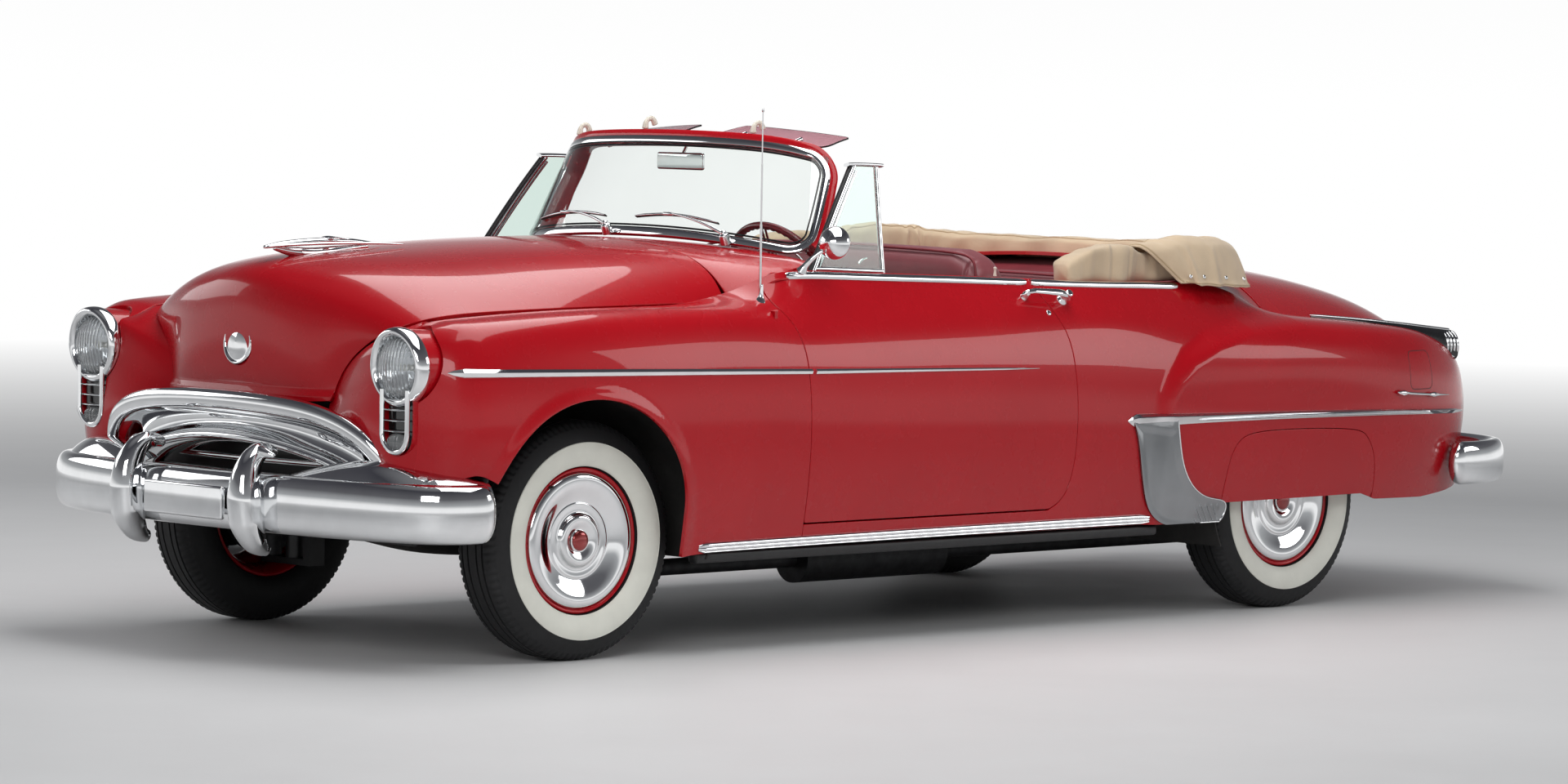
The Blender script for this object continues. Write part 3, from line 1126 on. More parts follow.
horn = sweep(curve(((0.262, -2.470, 0.600), (0.300, -2.492, 0.606), (0.335, -2.478, 0.596)), 24),
             oval(0.016, 0.016, 20), UP, np.interp(shares(24), (0, 0.5, 1), (1.3, 1.2, 0.5)), 0.008)
bright("guard_horns", both(horn), sharp=60)
plate = rounded_box((-0.185, -2.548, 0.402), (0.185, -2.528, 0.500), 0.009)
bright("bumper_centre", plate, sharp=50)


def headlamp_ring(sign):
    centre = HEADLAMP * (sign, 1, 1)
    ring = ((-0.046, 0.1125), (-0.040, 0.1140), (-0.032, 0.1143), (-0.022, 0.1132), (-0.012, 0.1100),
            (-0.005, 0.1035), (-0.0045, 0.0965), (-0.010, 0.0900), (-0.020, 0.0850), (-0.030, 0.0830),
            (-0.036, 0.0850), (-0.044, 0.1060))
    points, faces, _ = lathe(curve(ring, 60), centre, (0, -1, 0), 128)
    lift = np.clip((points[:, 2] - centre[2]) / LAMP_REACH, 0, 1) ** 1.6
    lean = np.clip((points[:, 1] - (centre[1] + 0.090)) / -0.100, 0, 1)
    points[:, 1] -= 0.016 * lift * lean
    points[:, 2] += 0.004 * lift * lean
    low = np.clip((centre[2] - points[:, 2]) / LAMP_REACH, 0, 1)
    points[:, 1] += 0.010 * low * lean
    return points, faces, None


for sign, side in ((1, "left"), (-1, "right")):
    lamp = HEADLAMP * (sign, 1, 1)
    bright("headlamp_ring_" + side, headlamp_ring(sign),
           ("headlamp_rims",) if sign > 0 else (), sharp=60)
    bucket = ((-0.200, 0.1040), (-0.120, 0.1080), (-0.060, 0.1105), (-0.043, 0.1105), (-0.043, 0.1040),
              (-0.200, 0.0960))
    points, faces, _ = lathe(curve(bucket, 40), lamp, (0, -1, 0), 96)
    points[:, 1] -= 0.012 * np.clip((points[:, 2] - lamp[2]) / LAMP_REACH, 0, 1) ** 1.6
    piece("headlamp_bucket_" + side, (points, faces, None), RED, "body", "body_paint", sharp=60)
    lens = ((-0.034, 0.0850), (-0.022, 0.0845), (-0.014, 0.0800), (-0.005, 0.0640), (0.002, 0.0420),
            (0.0055, 0.0200), (0.0060, 0.0005), (0.0025, 0.0005), (0.0020, 0.0200), (-0.0015, 0.0420),
            (-0.0085, 0.0640), (-0.018, 0.0780), (-0.034, 0.0810))
    piece("headlamp_lens_" + side, lathe(curve(lens, 60), lamp, (0, -1, 0), 96), LAMP_GLASS, "body",
          "lamp_glass", ("headlamp_lenses",) if sign > 0 else (), sharp=60)
    bowl = ((-0.028, 0.0840), (-0.046, 0.0740), (-0.064, 0.0540), (-0.074, 0.0320), (-0.078, 0.0100),
            (-0.078, 0.0005), (-0.082, 0.0005), (-0.080, 0.0380), (-0.068, 0.0600), (-0.048, 0.0800),
            (-0.030, 0.0860))
    piece("headlamp_bowl_" + side, lathe(curve(bowl, 50), lamp, (0, -1, 0), 72), REFLECTOR, "body", "chrome",
          sharp=60)
    bulb_turn = ((-0.074, 0.009), (-0.060, 0.009), (-0.049, 0.012), (-0.040, 0.009), (-0.036, 0.0005))
    bulb = lathe(curve(bulb_turn, 24), lamp, (0, -1, 0), 32)
    piece("headlamp_bulb_" + side, bulb, IVORY, "body", "lamp_glass", sharp=60)

INSERT_X = HEADLAMP[0]
INSERT_TOP = 0.800


def insert_outline(grow, count=44):
    """The parking lamp insert's edge: two uprights joined by a half round foot."""
    half = 0.052 + grow
    turn = np.linspace(0, math.pi, count)
    low = [(INSERT_X + half * math.cos(a), INSERT_FOOT - half * math.sin(a)) for a in turn]
    return [(INSERT_X + half, INSERT_TOP)] + low + [(INSERT_X - half, INSERT_TOP)]


def insert_lean(z):
    """How far the insert leans back towards its foot."""
    return 0.10 * max(0.0, 0.66 - z)


frame_path = [(x, -2.346 + insert_lean(z), z) for x, z in insert_outline(0.004)]
insert_frame = sweep(frame_path, oval(0.0085, 0.0065, 16), (0, -1, 0))
bright("parking_frames", both(insert_frame), ("parking_lamps",), sharp=60)


sleeve_form = ((0.0, -0.0035), (0.002, -0.0010), (0.003, 0.0030), (-0.150, 0.0030), (-0.150, -0.0035))
sleeve_points = []
for x, z in insert_outline(0.0115):
    out_x, out_z = x - INSERT_X, min(z - INSERT_FOOT, 0.0)
    size = math.hypot(out_x, out_z)
    sleeve_points.append([(x + out_x / size * b, -2.330 - a + insert_lean(z), z + out_z / size * b)
                          for a, b in sleeve_form])
piece("parking_sleeves", both(ringed(np.array(sleeve_points))), RED, "body", "body_paint", sharp=50)


def insert_plate():
    outline = insert_outline(0.002, 30)
    count = len(outline)
    points = [(x, -2.322, z) for x, z in outline] + [(x, -2.300, z) for x, z in outline]
    faces = [list(range(count))[::-1], [count + i for i in range(count)]]
    faces += [[i, (i + 1) % count, count + (i + 1) % count, count + i] for i in range(count)]
    return np.array(points), faces, None


piece("parking_plates", both(insert_plate()), PLATE, "body", "chassis_black", smooth=False)
for n, height in enumerate((0.772, 0.742, 0.712, 0.682)):
    bar = sweep([(INSERT_X - 0.049, -2.336, height), (INSERT_X, -2.340, height),
                 (INSERT_X + 0.049, -2.336, height)],
                oval(0.010, 0.0035, 14), UP)
    bright("parking_bar_%d" % n, both(bar), sharp=60)
PARK_Z = 0.652
park = lathe(curve(((-0.004, 0.040), (0.004, 0.040), (0.013, 0.034), (0.019, 0.020), (0.021, 0.0005)), 30),
             (INSERT_X, -2.332, PARK_Z), (0, -1, 0), 56)
points = park[0]
points[:, 2] = PARK_Z + (points[:, 2] - PARK_Z) * 0.62
points[:, 0] = INSERT_X + (points[:, 0] - INSERT_X) * 1.05
piece("parking_lenses", both(park), LAMP_GLASS, "body", "lamp_glass", sharp=60)

medal = ((-0.004, 0.068), (0.004, 0.068), (0.010, 0.0650), (0.013, 0.0600), (0.010, 0.0555), (0.008, 0.0520),
         (0.0115, 0.0390), (0.0155, 0.0210), (0.0168, 0.0005))
piece("nose_medallion", lathe(curve(medal, 60), (0.0, -2.340, 0.902), (0, -1, 0.10), 96), CHROME, "hood",
      "chrome", sharp=60)

# The low swept ornament on the hood: two long blades that meet at the nose, a spine and a short upper bar.
blade = curve(((0.000, -2.246, 1.180), (0.026, -2.170, 1.187), (0.058, -2.000, 1.192), (0.080, -1.870, 1.190),
               (0.090, -1.806, 1.187)), 50)
blade_scale = np.interp(shares(50), (0, 0.1, 0.7, 1), (0.9, 1.0, 0.8, 0.35))
blades = both(sweep(blade, oval(0.012, 0.0055, 20), UP, blade_scale, 0.006))
spine = sweep(curve(((0, -2.250, 1.180), (0, -2.160, 1.191), (0, -2.020, 1.198), (0, -1.900, 1.194),
                     (0, -1.830, 1.186)), 50), oval(0.016, 0.010, 24), UP,
              np.interp(shares(50), (0, 0.12, 0.6, 1), (0.5, 0.9, 1.0, 0.25)), 0.008)
upper = sweep(curve(((-0.055, -1.985, 1.203), (0, -2.030, 1.209), (0.055, -1.985, 1.203)), 30),
              oval(0.011, 0.0035, 16), UP, np.interp(shares(30), (0, 0.5, 1), (0.5, 1.2, 0.5)), 0.004)
foot = sweep(curve(((0, -2.215, 1.176), (0, -2.160, 1.165), (0, -2.080, 1.158), (0, -1.960, 1.172),
                    (0, -1.870, 1.180)), 40), oval(0.016, 0.014, 20), UP,
             np.interp(shares(40), (0, 0.3, 0.7, 1), (0.5, 1.2, 1.0, 0.4)), 0.006)
piece("hood_blades", merged(blades, spine, upper, foot), CHROME, "hood", "chrome", ("hood_ornament",),
      sharp=60)

# Mouldings and fittings along the sides.

# Just inside the last row, where slopes can still be taken.
LAST_SHARE = 0.9998
side_u, side_v = np.meshgrid(np.linspace(0, LAST_SHARE, 500), np.linspace(0, LAST_SHARE, 120), indexing="ij")
SIDE_TABLE = SIDE.place(side_u, side_v)


def on_side(line, lift=0.0):
    """Points on the body's side at the given (y, z) places, and the directions straight out of it."""
    target = np.asarray(line, float)
    us, vs = [], []
    for y, z in target:
        gap = np.hypot(SIDE_TABLE[..., 1] - y, SIDE_TABLE[..., 2] - z)
        i, j = np.unravel_index(gap.argmin(), gap.shape)
        us.append(side_u[i, j])
        vs.append(side_v[i, j])
    u, v = np.array(us), np.array(vs)
    step = 0.0001
    for _ in range(4):
        p = SIDE.place(u, v)[:, 1:]
        du = (SIDE.place(u + step, v)[:, 1:] - p) / step
        dv = (SIDE.place(u, v + step)[:, 1:] - p) / step
        miss = target - p
        size = du[:, 0] * dv[:, 1] - du[:, 1] * dv[:, 0]
        u = np.clip(u + (miss[:, 0] * dv[:, 1] - miss[:, 1] * dv[:, 0]) / size, 0, LAST_SHARE)
        v = np.clip(v + (du[:, 0] * miss[:, 1] - du[:, 1] * miss[:, 0]) / size, 0, LAST_SHARE)
    normal = SIDE.normal(SIDE.place, u, v)
    return SIDE.place(u, v) + normal * lift, normal


def laid(points, normals, profile, scales=None, loop=False):
    """A moulding laid on a surface: its profile stands out along the normals."""
    points = np.asarray(points, float)
    profile = np.asarray(profile, float)
    scales = np.ones((len(points), 2)) if scales is None else np.asarray(scales, float)
    if scales.ndim == 1:
        scales = np.stack((scales, scales), -1)
    if loop:
        along = np.roll(points, -1, 0) - np.roll(points, 1, 0)
    else:
        along = np.gradient(points, axis=0)
    along /= np.linalg.norm(along, axis=1, keepdims=True)
    side = normals - along * (normals * along).sum(1, keepdims=True)
    side /= np.linalg.norm(side, axis=1, keepdims=True)
    rise = np.cross(side, along)
    rings = (points[:, None] + side[:, None] * (profile[None, :, :1] * scales[:, None, :1])
             + rise[:, None] * (profile[None, :, 1:] * scales[:, None, 1:]))
    if loop:
        rings = np.concatenate((rings, rings[:1]))
        return ringed(rings, False)
    return ringed(rings)


def eased(stops, values, count):
    return np.interp(shares(count), stops, values)


RIDGE = ((-0.35, -1.0), (0.10, -1.0), (0.42, -0.86), (0.85, -0.18), (1.0, 0.02), (0.88, 0.22), (0.42, 0.88),
         (0.10, 1.0), (-0.35, 1.0))
LOW_RIDGE = ((-0.35, -1.0), (0.06, -1.0), (0.16, -0.94), (0.86, 0.26), (1.0, 0.40), (0.90, 0.54),
             (0.30, 0.95), (0.10, 1.0), (-0.35, 1.0))

points, normals = on_side(curve(((-2.262, 0.8515), (-1.860, 0.8465), (-1.400, 0.8390), (-0.919, 0.8295)), 90))
size = np.stack((eased((0, 0.01, 0.05, 1), (0.002, 0.006, 0.011, 0.008), 90),
                 eased((0, 0.01, 0.03, 0.10, 1), (0.001, 0.008, 0.0135, 0.0125, 0.0085), 90)), -1)
bright("front_spears", both(laid(points, normals, RIDGE, size)), ("side_trim",), sharp=24)
points, normals = on_side(curve(((-0.903, 0.8290), (-0.445, 0.8235), (0.062, 0.8165)), 60))
size = np.stack((eased((0, 0.9, 1), (0.008, 0.004, 0.001), 60),
                 eased((0, 0.85, 1), (0.0085, 0.0040, 0.0008), 60)), -1)
door_spear = laid(points, normals, RIDGE, size)
points, normals = on_side(curve(((0.455, 0.6420), (0.530, 0.6430), (0.700, 0.6430), (1.041, 0.6435),
                                     (1.522, 0.6400), (1.900, 0.6330), (2.212, 0.6230)), 140))
size = np.stack((eased((0, 0.02, 0.06, 0.3, 0.95, 1), (0.002, 0.012, 0.019, 0.015, 0.008, 0.002), 140),
                 eased((0, 0.02, 0.045, 0.13, 0.33, 0.62, 0.97, 1),
                       (0.001, 0.012, 0.021, 0.020, 0.016, 0.0125, 0.008,
                                                                     0.002), 140)), -1)
bright("rear_spears", both(laid(points, normals, LOW_RIDGE, size)), sharp=20)
points, normals = on_side(curve(((0.760, 0.6375), (1.041, 0.6370), (1.522, 0.6340), (1.900, 0.6275)), 60),
                          0.010)
accent = laid(points, normals, oval(0.0035, 0.0016, 10), eased((0, 0.05, 0.9, 1), (0.3, 1, 0.8, 0.3), 60))
bright("rear_spear_lines", both(accent), sharp=60)

TRIPLE = [(-0.004, -0.0165)]
for middle in (-0.0108, 0.0, 0.0108):
    for turn_at in np.linspace(-1, 1, 7):
        TRIPLE.append((0.0042 + 0.0052 * math.cos(turn_at * math.pi / 2), middle + 0.0048 * turn_at))
TRIPLE.append((-0.004, 0.0165))
points, normals = on_side(curve(((-1.345, 0.3190), (-0.520, 0.3265), (0.585, 0.3265)), 70))
size = eased((0, 0.01, 0.99, 1), (0.55, 1, 1, 0.7), 70)
bright("rocker_mouldings", both(laid(points, normals, TRIPLE, size)), sharp=35)
sill_path = [(0.872, y, 0.288) for y in np.linspace(-1.330, 0.640, 40)]
piece("sill_strips", both(sweep(sill_path, oval(0.022, 0.017, 20, 0.6), UP, None, 0.006)), BLACK, "body",
      "chassis_black", sharp=50)

# The belt mouldings run along the top edge of the doors and the quarters.
BELT = ((-0.30, -1.0), (0.20, -1.0), (0.55, -0.80), (0.90, -0.35), (1.0, 0.0), (0.90, 0.35), (0.55, 0.80),
        (0.20, 1.0), (-0.30, 1.0))


BELT_SHARE = 0.990
BELT_HALF = 0.0125


def belt(first, last, count):
    us = np.linspace(share_at(first), share_at(last), count)
    vs = np.full(count, BELT_SHARE)
    normal = SIDE.normal(SIDE.place, us, vs)
    size = np.stack((np.full(count, 0.0085), eased((0, 0.02, 0.98, 1), (BELT_HALF * 0.7, BELT_HALF, BELT_HALF,
                                                                        BELT_HALF * 0.7), count)), -1)
    return laid(SIDE.place(us, vs), normal, BELT, size)


bright("quarter_belts", both(belt(0.140, 0.830, 40)), sharp=40)

# Stone guards ahead of the rear wheels, with slanted ribs at the foot and a fine bright border.
GUARD_LINE_YZ = ((0.478, 0.636), (0.497, 0.600), (0.520, 0.500), (0.552, 0.405), (0.590, 0.340),
                 (0.650, 0.308), (0.740, 0.298), (0.850, 0.298), (0.905, 0.308), (0.925, 0.352),
                 (0.905, 0.376), (0.850, 0.385), (0.795, 0.402), (0.740, 0.440), (0.700, 0.495),
                 (0.680, 0.550), (0.668, 0.605), (0.664, 0.636))
guard_edge = curve(GUARD_LINE_YZ, 160)


def guard_swell(p):
    slant = p[..., 1] * 0.80 + p[..., 2] * 0.60
    where = smoothstep((p[..., 1] - 0.775) / 0.02) * smoothstep((0.372 - p[..., 2]) / 0.012)
    where = where * smoothstep((0.905 - p[..., 1]) / 0.015)
    ribs = 0.0045 * np.maximum(np.cos(slant * 2 * math.pi / 0.0215), -0.2) * where
    hollow = 0.004 * smoothstep(distance(p[..., 1:], guard_edge[::4]) / 0.03)
    return fender_swell(p) + 0.0085 - hollow + ribs


GUARD_SIDE = Surface(SIDE_ROWS, guard_swell)
guard_skin = panel_mesh(GUARD_SIDE, np.linspace(share_at(0.46), share_at(0.94), 170),
                        np.linspace(0, 0.62, 130), lambda p: distance(p[..., 1:], guard_edge), depth=0.008,
                        lip=0.0012)
piece("stone_guards", both(guard_skin), STEEL_BRIGHT, "body", "chrome")
points, normals = on_side(guard_edge[60:], 0.0085)
bead = laid(points, normals, oval(0.0028, 0.0024, 10))
bright("stone_guard_beads", both(bead), sharp=60)

# The fuel door's line on the left rear fender, and the small bar under it on both sides.
loop_line = rounded_loop(1.815, 1.948, 0.708, 0.834, 0.022, 7)
dense_loop = []
for (y0, z0), (y1, z1) in zip(loop_line, loop_line[1:] + loop_line[:1]):
    for t in shares(4)[:-1]:
        dense_loop.append((y0 + (y1 - y0) * t, z0 + (z1 - z0) * t))
points, normals = on_side(dense_loop, 0.0001)
piece("fuel_door_line", laid(points, normals, oval(0.0006, 0.0011, 8), None, True), BLACK, "body",
      "chassis_black", sharp=60)
points, normals = on_side(curve(((1.728, 0.7020), (1.800, 0.6960), (1.900, 0.6890), (2.048, 0.6830)), 60),
                          0.010)
size = eased((0, 0.06, 0.16, 0.26, 0.66, 0.74, 0.82, 1), (0.15, 0.9, 1.5, 0.8, 0.7, 1.5, 0.7, 0.15), 60)
small_bar = laid(points, normals, oval(0.0085, 0.0065, 18), size)
bright("rear_fender_bars", both(small_bar), sharp=60)

# Door fittings: belt, spear, handle, mirror and vent window.

handle_points, handle_normals = on_side(curve(((0.060, 1.0340), (0.150, 1.0290), (0.262, 1.0200)), 40))
reach = eased((0, 0.06, 0.20, 0.75, 0.92, 1), (0.014, 0.030, 0.038, 0.038, 0.030, 0.014), 40)
grip = laid(handle_points + handle_normals * reach[:, None], handle_normals, oval(0.0070, 0.0105, 22),
            eased((0, 0.08, 0.5, 0.85, 1), (0.35, 0.75, 1.0, 1.25, 0.9), 40))
boss_turn = ((-0.002, 0.019), (0.002, 0.0185), (0.006, 0.016), (0.014, 0.0125), (0.030, 0.0115),
             (0.040, 0.0125), (0.0445, 0.0110), (0.046, 0.0060), (0.0462, 0.0003))
boss = lathe(curve(boss_turn, 40), handle_points[-4], handle_normals[-4], 40)
post_turn = ((-0.002, 0.013), (0.002, 0.0125), (0.008, 0.0095), (0.030, 0.0085), (0.034, 0.0003))
post = lathe(curve(post_turn, 30), handle_points[4], handle_normals[4], 32)
lock = lathe(curve(((0.0, 0.0095), (0.002, 0.0093), (0.0035, 0.0075), (0.0042, 0.0003)), 20),
             *[v[0] for v in on_side(((0.160, 0.985),))], 32)

mirror_centre = np.array((0.868, -0.772, 1.208))
mirror_axis = np.array((0.30, -0.95, 0.10))
shell = ((-0.008, 0.0460), (-0.004, 0.0500), (0.004, 0.0510), (0.014, 0.0480), (0.028, 0.0390),
         (0.040, 0.0240), (0.046, 0.0100), (0.048, 0.0004))
head = lathe(curve(shell, 60), mirror_centre, mirror_axis, 72)
pane_turn = ((-0.0085, 0.0004), (-0.0085, 0.030), (-0.0080, 0.0455), (-0.004, 0.0480))
pane = lathe(pane_turn, mirror_centre, mirror_axis, 72)
arm = sweep(curve(((0.868, -0.752, 1.208), (0.858, -0.790, 1.196), (0.838, -0.822, 1.172),
                   (0.812, -0.838, 1.142), (0.798, -0.842, 1.122)), 40), oval(0.0075, 0.0075, 18), (1, 0, 0),
            eased((0, 0.5, 0.85, 1), (1.0, 0.9, 1.3, 2.2), 40), 0.003)
mirror_all = merged(head, arm)

VENT_FRONT = curve(((0.776, -0.776, 1.118), (0.758, -0.706, 1.226), (0.735, -0.622, 1.345),
                    (0.713, -0.552, 1.436)), 40)
VENT_BACK = curve(((0.776, -0.482, 1.108), (0.752, -0.474, 1.230), (0.728, -0.463, 1.350),
                   (0.712, -0.456, 1.432)), 40)
VENT_FOOT = curve(((0.777, -0.768, 1.128), (0.7775, -0.680, 1.126), (0.7775, -0.590, 1.121),
                   (0.777, -0.482, 1.117)), 24)
VENT_CAP = curve(((0.713, -0.580, 1.440), (0.713, -0.540, 1.441), (0.712, -0.480, 1.440),
                  (0.711, -0.432, 1.437)), 24)
vent_out = np.cross(VENT_BACK[-1] - VENT_FOOT[0], VENT_BACK[0] - VENT_FOOT[0])
vent_out = -vent_out / np.linalg.norm(vent_out) if vent_out[0] < 0 else vent_out / np.linalg.norm(vent_out)


def vent_bar(line, half_out, half_wide):
    return laid(line, np.repeat(vent_out[None], len(line), 0), oval(half_out, half_wide, 16, 0.7))


outer_bars = merged(vent_bar(VENT_FRONT, 0.010, 0.0075), vent_bar(VENT_BACK, 0.010, 0.0060),
                    vent_bar(VENT_FOOT, 0.009, 0.0060), vent_bar(VENT_CAP, 0.013, 0.0055))
inner_bar = vent_bar(VENT_FRONT[2:-2] + (0.0, 0.019, -0.002), 0.0060, 0.0048)
corners = np.array((VENT_FOOT[0] + (0, 0.012, 0), VENT_BACK[0] + (0, 0, 0.014), VENT_BACK[-1],
                    VENT_FRONT[-1]))


def four_sided(corners, thickness, steps=14):
    """A thin pane between four corners, with a slightly rounded rim."""
    a, b, c, d = [np.asarray(p, float) for p in corners]
    rows = []
    for s in shares(steps):
        rows.append([(a + (b - a) * t) * (1 - s) + (d + (c - d) * t) * s for t in shares(steps)])
    sheet_form = Surface(rows)
    return panel_mesh(sheet_form, shares(steps), shares(steps), None, thickness, thickness * 0.3)


vent_pane = four_sided(corners, 0.0045)
rubber = vent_bar(VENT_FRONT - (0, 0.012, 0), 0.008, 0.0060)
catch = sweep(curve(((0.752, -0.560, 1.140), (0.744, -0.545, 1.150), (0.742, -0.520, 1.156)), 16),
              oval(0.005, 0.004, 12), UP, None, 0.003)
for side, turned in (("left", False), ("right", True)):
    def sided(data):
        return mirror_x(data) if turned else data
    door = "door_" + side
    piece("door_belt_" + side, sided(belt(-0.905, 0.118, 60)), CHROME, door, "chrome",
          ("door_chrome_" + side,), sharp=40)
    piece("door_spear_" + side, sided(door_spear), CHROME, door, "chrome", sharp=24)
    piece("door_handle_" + side, sided(merged(grip, boss, post, lock)), CHROME, door, "chrome", sharp=50)
    piece("vent_frame_" + side, sided(merged(outer_bars, inner_bar, catch)), CHROME, door, "chrome", sharp=50)
    piece("vent_seal_" + side, sided(rubber), BLACK, door, "chassis_black", sharp=50)
    piece("vent_pane_" + side, sided(vent_pane), VENT_GLASS, door, "glass", ("vent_glass_" + side,))
    if side == "left":
        piece("mirror_shell", mirror_all, CHROME, door, "chrome", sharp=45)
        piece("mirror_pane", pane, REFLECTOR, door, "glass", sharp=45)
    lock_knob = lathe(curve(((0.0, 0.0055), (0.006, 0.0050), (0.016, 0.0035), (0.024, 0.0055),
                             (0.028, 0.0045), (0.029, 0.0003)), 30), (0.745, 0.040, 1.096), (0, 0, 1), 24)
    piece("lock_knob_" + side, sided(lock_knob), IVORY, door, "chrome", sharp=50)

# The rear: crests, lamps and bumper.

t = shares(90)
crest_top = curve(((1.500, 0.9535), (1.665, 0.9420), (1.873, 0.9250), (2.041, 0.9080), (2.200, 0.8920)), 90)
crest_low = curve(((1.500, 0.9440), (1.665, 0.9300), (1.873, 0.8960), (2.041, 0.8480), (2.200, 0.7900)), 90)
crest_x = np.interp(t, (0, 0.4, 0.8, 1), (0.772, 0.782, 0.786, 0.783))
crest_wide = np.interp(t, (0, 0.03, 0.3, 0.7, 1), (0.002, 0.0055, 0.010, 0.022, 0.034))
ring_turn = around(28)
rings = []
for n in range(90):
    middle = (crest_top[n] + crest_low[n]) / 2
    half = (crest_top[n][1] - crest_low[n][1]) / 2
    c, s = np.cos(ring_turn), np.sin(ring_turn)
    x = crest_x[n] + np.sign(c) * np.abs(c) ** 0.8 * crest_wide[n] * np.clip(1.05 - 0.45 * s, 0.5, 1.5)
    z = middle[1] + np.sign(s) * np.abs(s) ** 0.8 * half
    rings.append(np.stack((x, np.full(28, middle[0]), z), -1))
piece("tail_crests", both(ringed(rings)), PLATE, "body", "chrome", ("tail_lamps",), sharp=50)
spine_line = [(crest_x[n], crest_top[n][0], crest_top[n][1] - 0.001) for n in range(0, 90, 2)]
crest_spine = sweep(spine_line, oval(0.0050, 0.0042, 14), UP, np.interp(shares(45), (0, 0.05, 1),
                                                                        (0.6, 1.0, 1.5)), 0.004)
side_bead = [(crest_x[n] + crest_wide[n] * 1.1, crest_low[n][0],
              crest_low[n][1] + 0.006) for n in range(30, 90, 3)]
low_bead = sweep(side_bead, oval(0.0035, 0.0030, 12), UP, None, 0.003)
bright("crest_beads", both(merged(crest_spine, low_bead)), sharp=60)
LAMP_AXIS = np.array((0.16, 0.96, 0.22))
lamp_centre = np.array((0.782, 2.196, 0.836))
lens_turn = ((-0.012, 0.0490), (0.004, 0.0480), (0.020, 0.0425), (0.034, 0.0300), (0.042, 0.0140),
             (0.044, 0.0004))


def pressed(data, centre, width_share):
    """The same form with its width across the car reduced."""
    points, faces, _ = data
    points = np.array(points)
    points[:, 0] = centre[0] + (points[:, 0] - centre[0]) * width_share
    return points, faces, None


tail_lens = pressed(lathe(curve(lens_turn, 60), lamp_centre, LAMP_AXIS, 72), lamp_centre, 0.66)
piece("tail_lenses", both(tail_lens), RED_LENS, "body", "lamp_glass", sharp=60)
tail_base = pressed(lathe(((0.004, 0.0004), (0.004, 0.030), (-0.001, 0.044)), lamp_centre, LAMP_AXIS, 60),
                    lamp_centre, 0.64)
piece("tail_reflectors", both(tail_base), REFLECTOR, "body", "chrome", sharp=60)
ring_form = ring_section(0.004, 0.0045, 0.0500, 14)
tail_ring = pressed(lathe(ring_form, lamp_centre, LAMP_AXIS, 72, closed=True), lamp_centre, 0.70)
ribs = []
for n, y in enumerate((2.150, 2.166, 2.182, 2.198)):
    out = 0.037 + 0.001 * n
    rib_path = [(lamp_centre[0] + out * math.cos(a) * 0.98, y, 0.842 + 0.046 * math.sin(a))
                for a in np.linspace(-1.1, 1.25, 16)]
    ribs.append(sweep(rib_path, oval(0.0048, 0.0048, 12), (0, 1, 0), None, 0.003))
bright("tail_rings", both(merged(tail_ring, *ribs)), sharp=60)

REAR_LINE = ((0.915, 2.110, 0.452), (0.922, 2.190, 0.452), (0.900, 2.290, 0.454), (0.835, 2.380, 0.455),
             (0.690, 2.450, 0.456), (0.480, 2.490, 0.456), (0.240, 2.512, 0.456), (0.0, 2.518, 0.456))
rear_path = across_car(REAR_LINE, 150)
bright("rear_bumper_bar", sweep(rear_path, bumper_section(0.034, 0.072), UP, None, 0.040, 10),
       ("rear_bumper",), sharp=55)
rear_guard = curve(((0.300, 2.478, 0.338), (0.300, 2.510, 0.350), (0.300, 2.536, 0.390),
                    (0.300, 2.546, 0.440), (0.300, 2.544, 0.495), (0.300, 2.530, 0.545),
                    (0.300, 2.500, 0.580), (0.300, 2.468, 0.588)), 50)
t = shares(50)
wide = np.interp(t, (0, 0.1, 0.3, 0.6, 0.85, 1), (0.35, 0.75, 1.0, 0.95, 0.75, 0.35))
rear_guards = sweep(rear_guard, oval(0.040, 0.036, 32, 0.9), (0, 1, 0), wide, 0.014, 8)
bright("rear_guards", both(rear_guards), sharp=60)
marker = lathe(curve(((-0.002, 0.0165), (0.004, 0.0160), (0.009, 0.0110), (0.011, 0.0004)), 24),
               (0.930, 2.245, 0.462), (0.86, 0.50, 0), 36)
piece("rear_markers", both(marker), AMBER_LENS, "body", "lamp_glass", sharp=60)
deck_handle = (
    sweep(curve(((-0.085, 2.442, 0.640), (-0.060, 2.470, 0.650), (0, 2.478, 0.654), (0.060, 2.470, 0.650),
                 (0.085, 2.442, 0.640)), 40), oval(0.010, 0.012, 18), UP,
          eased((0, 0.15, 0.5, 0.85, 1), (1.5, 0.9, 1.1, 0.9, 1.5), 40), 0.006))
piece("deck_handle", deck_handle, CHROME, "deck_lid", "chrome", sharp=60)

# The windshield, its frame, wipers, latches, visors and the antenna.

GLASS_SHARES = (
    ((0.698, 0.343, 0.965), (0.568, 0.312, 0.985), (0.325, 0.296, 1.004), (0.0, 0.290, 1.010)),
    ((0.680, 0.366, 1.090), (0.558, 0.338, 1.115), (0.320, 0.320, 1.130), (0.0, 0.316, 1.135)),
    ((0.640, 0.388, 1.215), (0.538, 0.362, 1.243), (0.315, 0.349, 1.256), (0.0, 0.345, 1.260)),
)
SHIELD = Surface([full_row([spot(x, y, z) for x, y, z in row]) for row in GLASS_SHARES])
SHIELD_TALL = 0.327
SHIELD_HALF = 0.700
# Metres across the car to a metre along the bowed pane.
PANE_RUN = 0.94


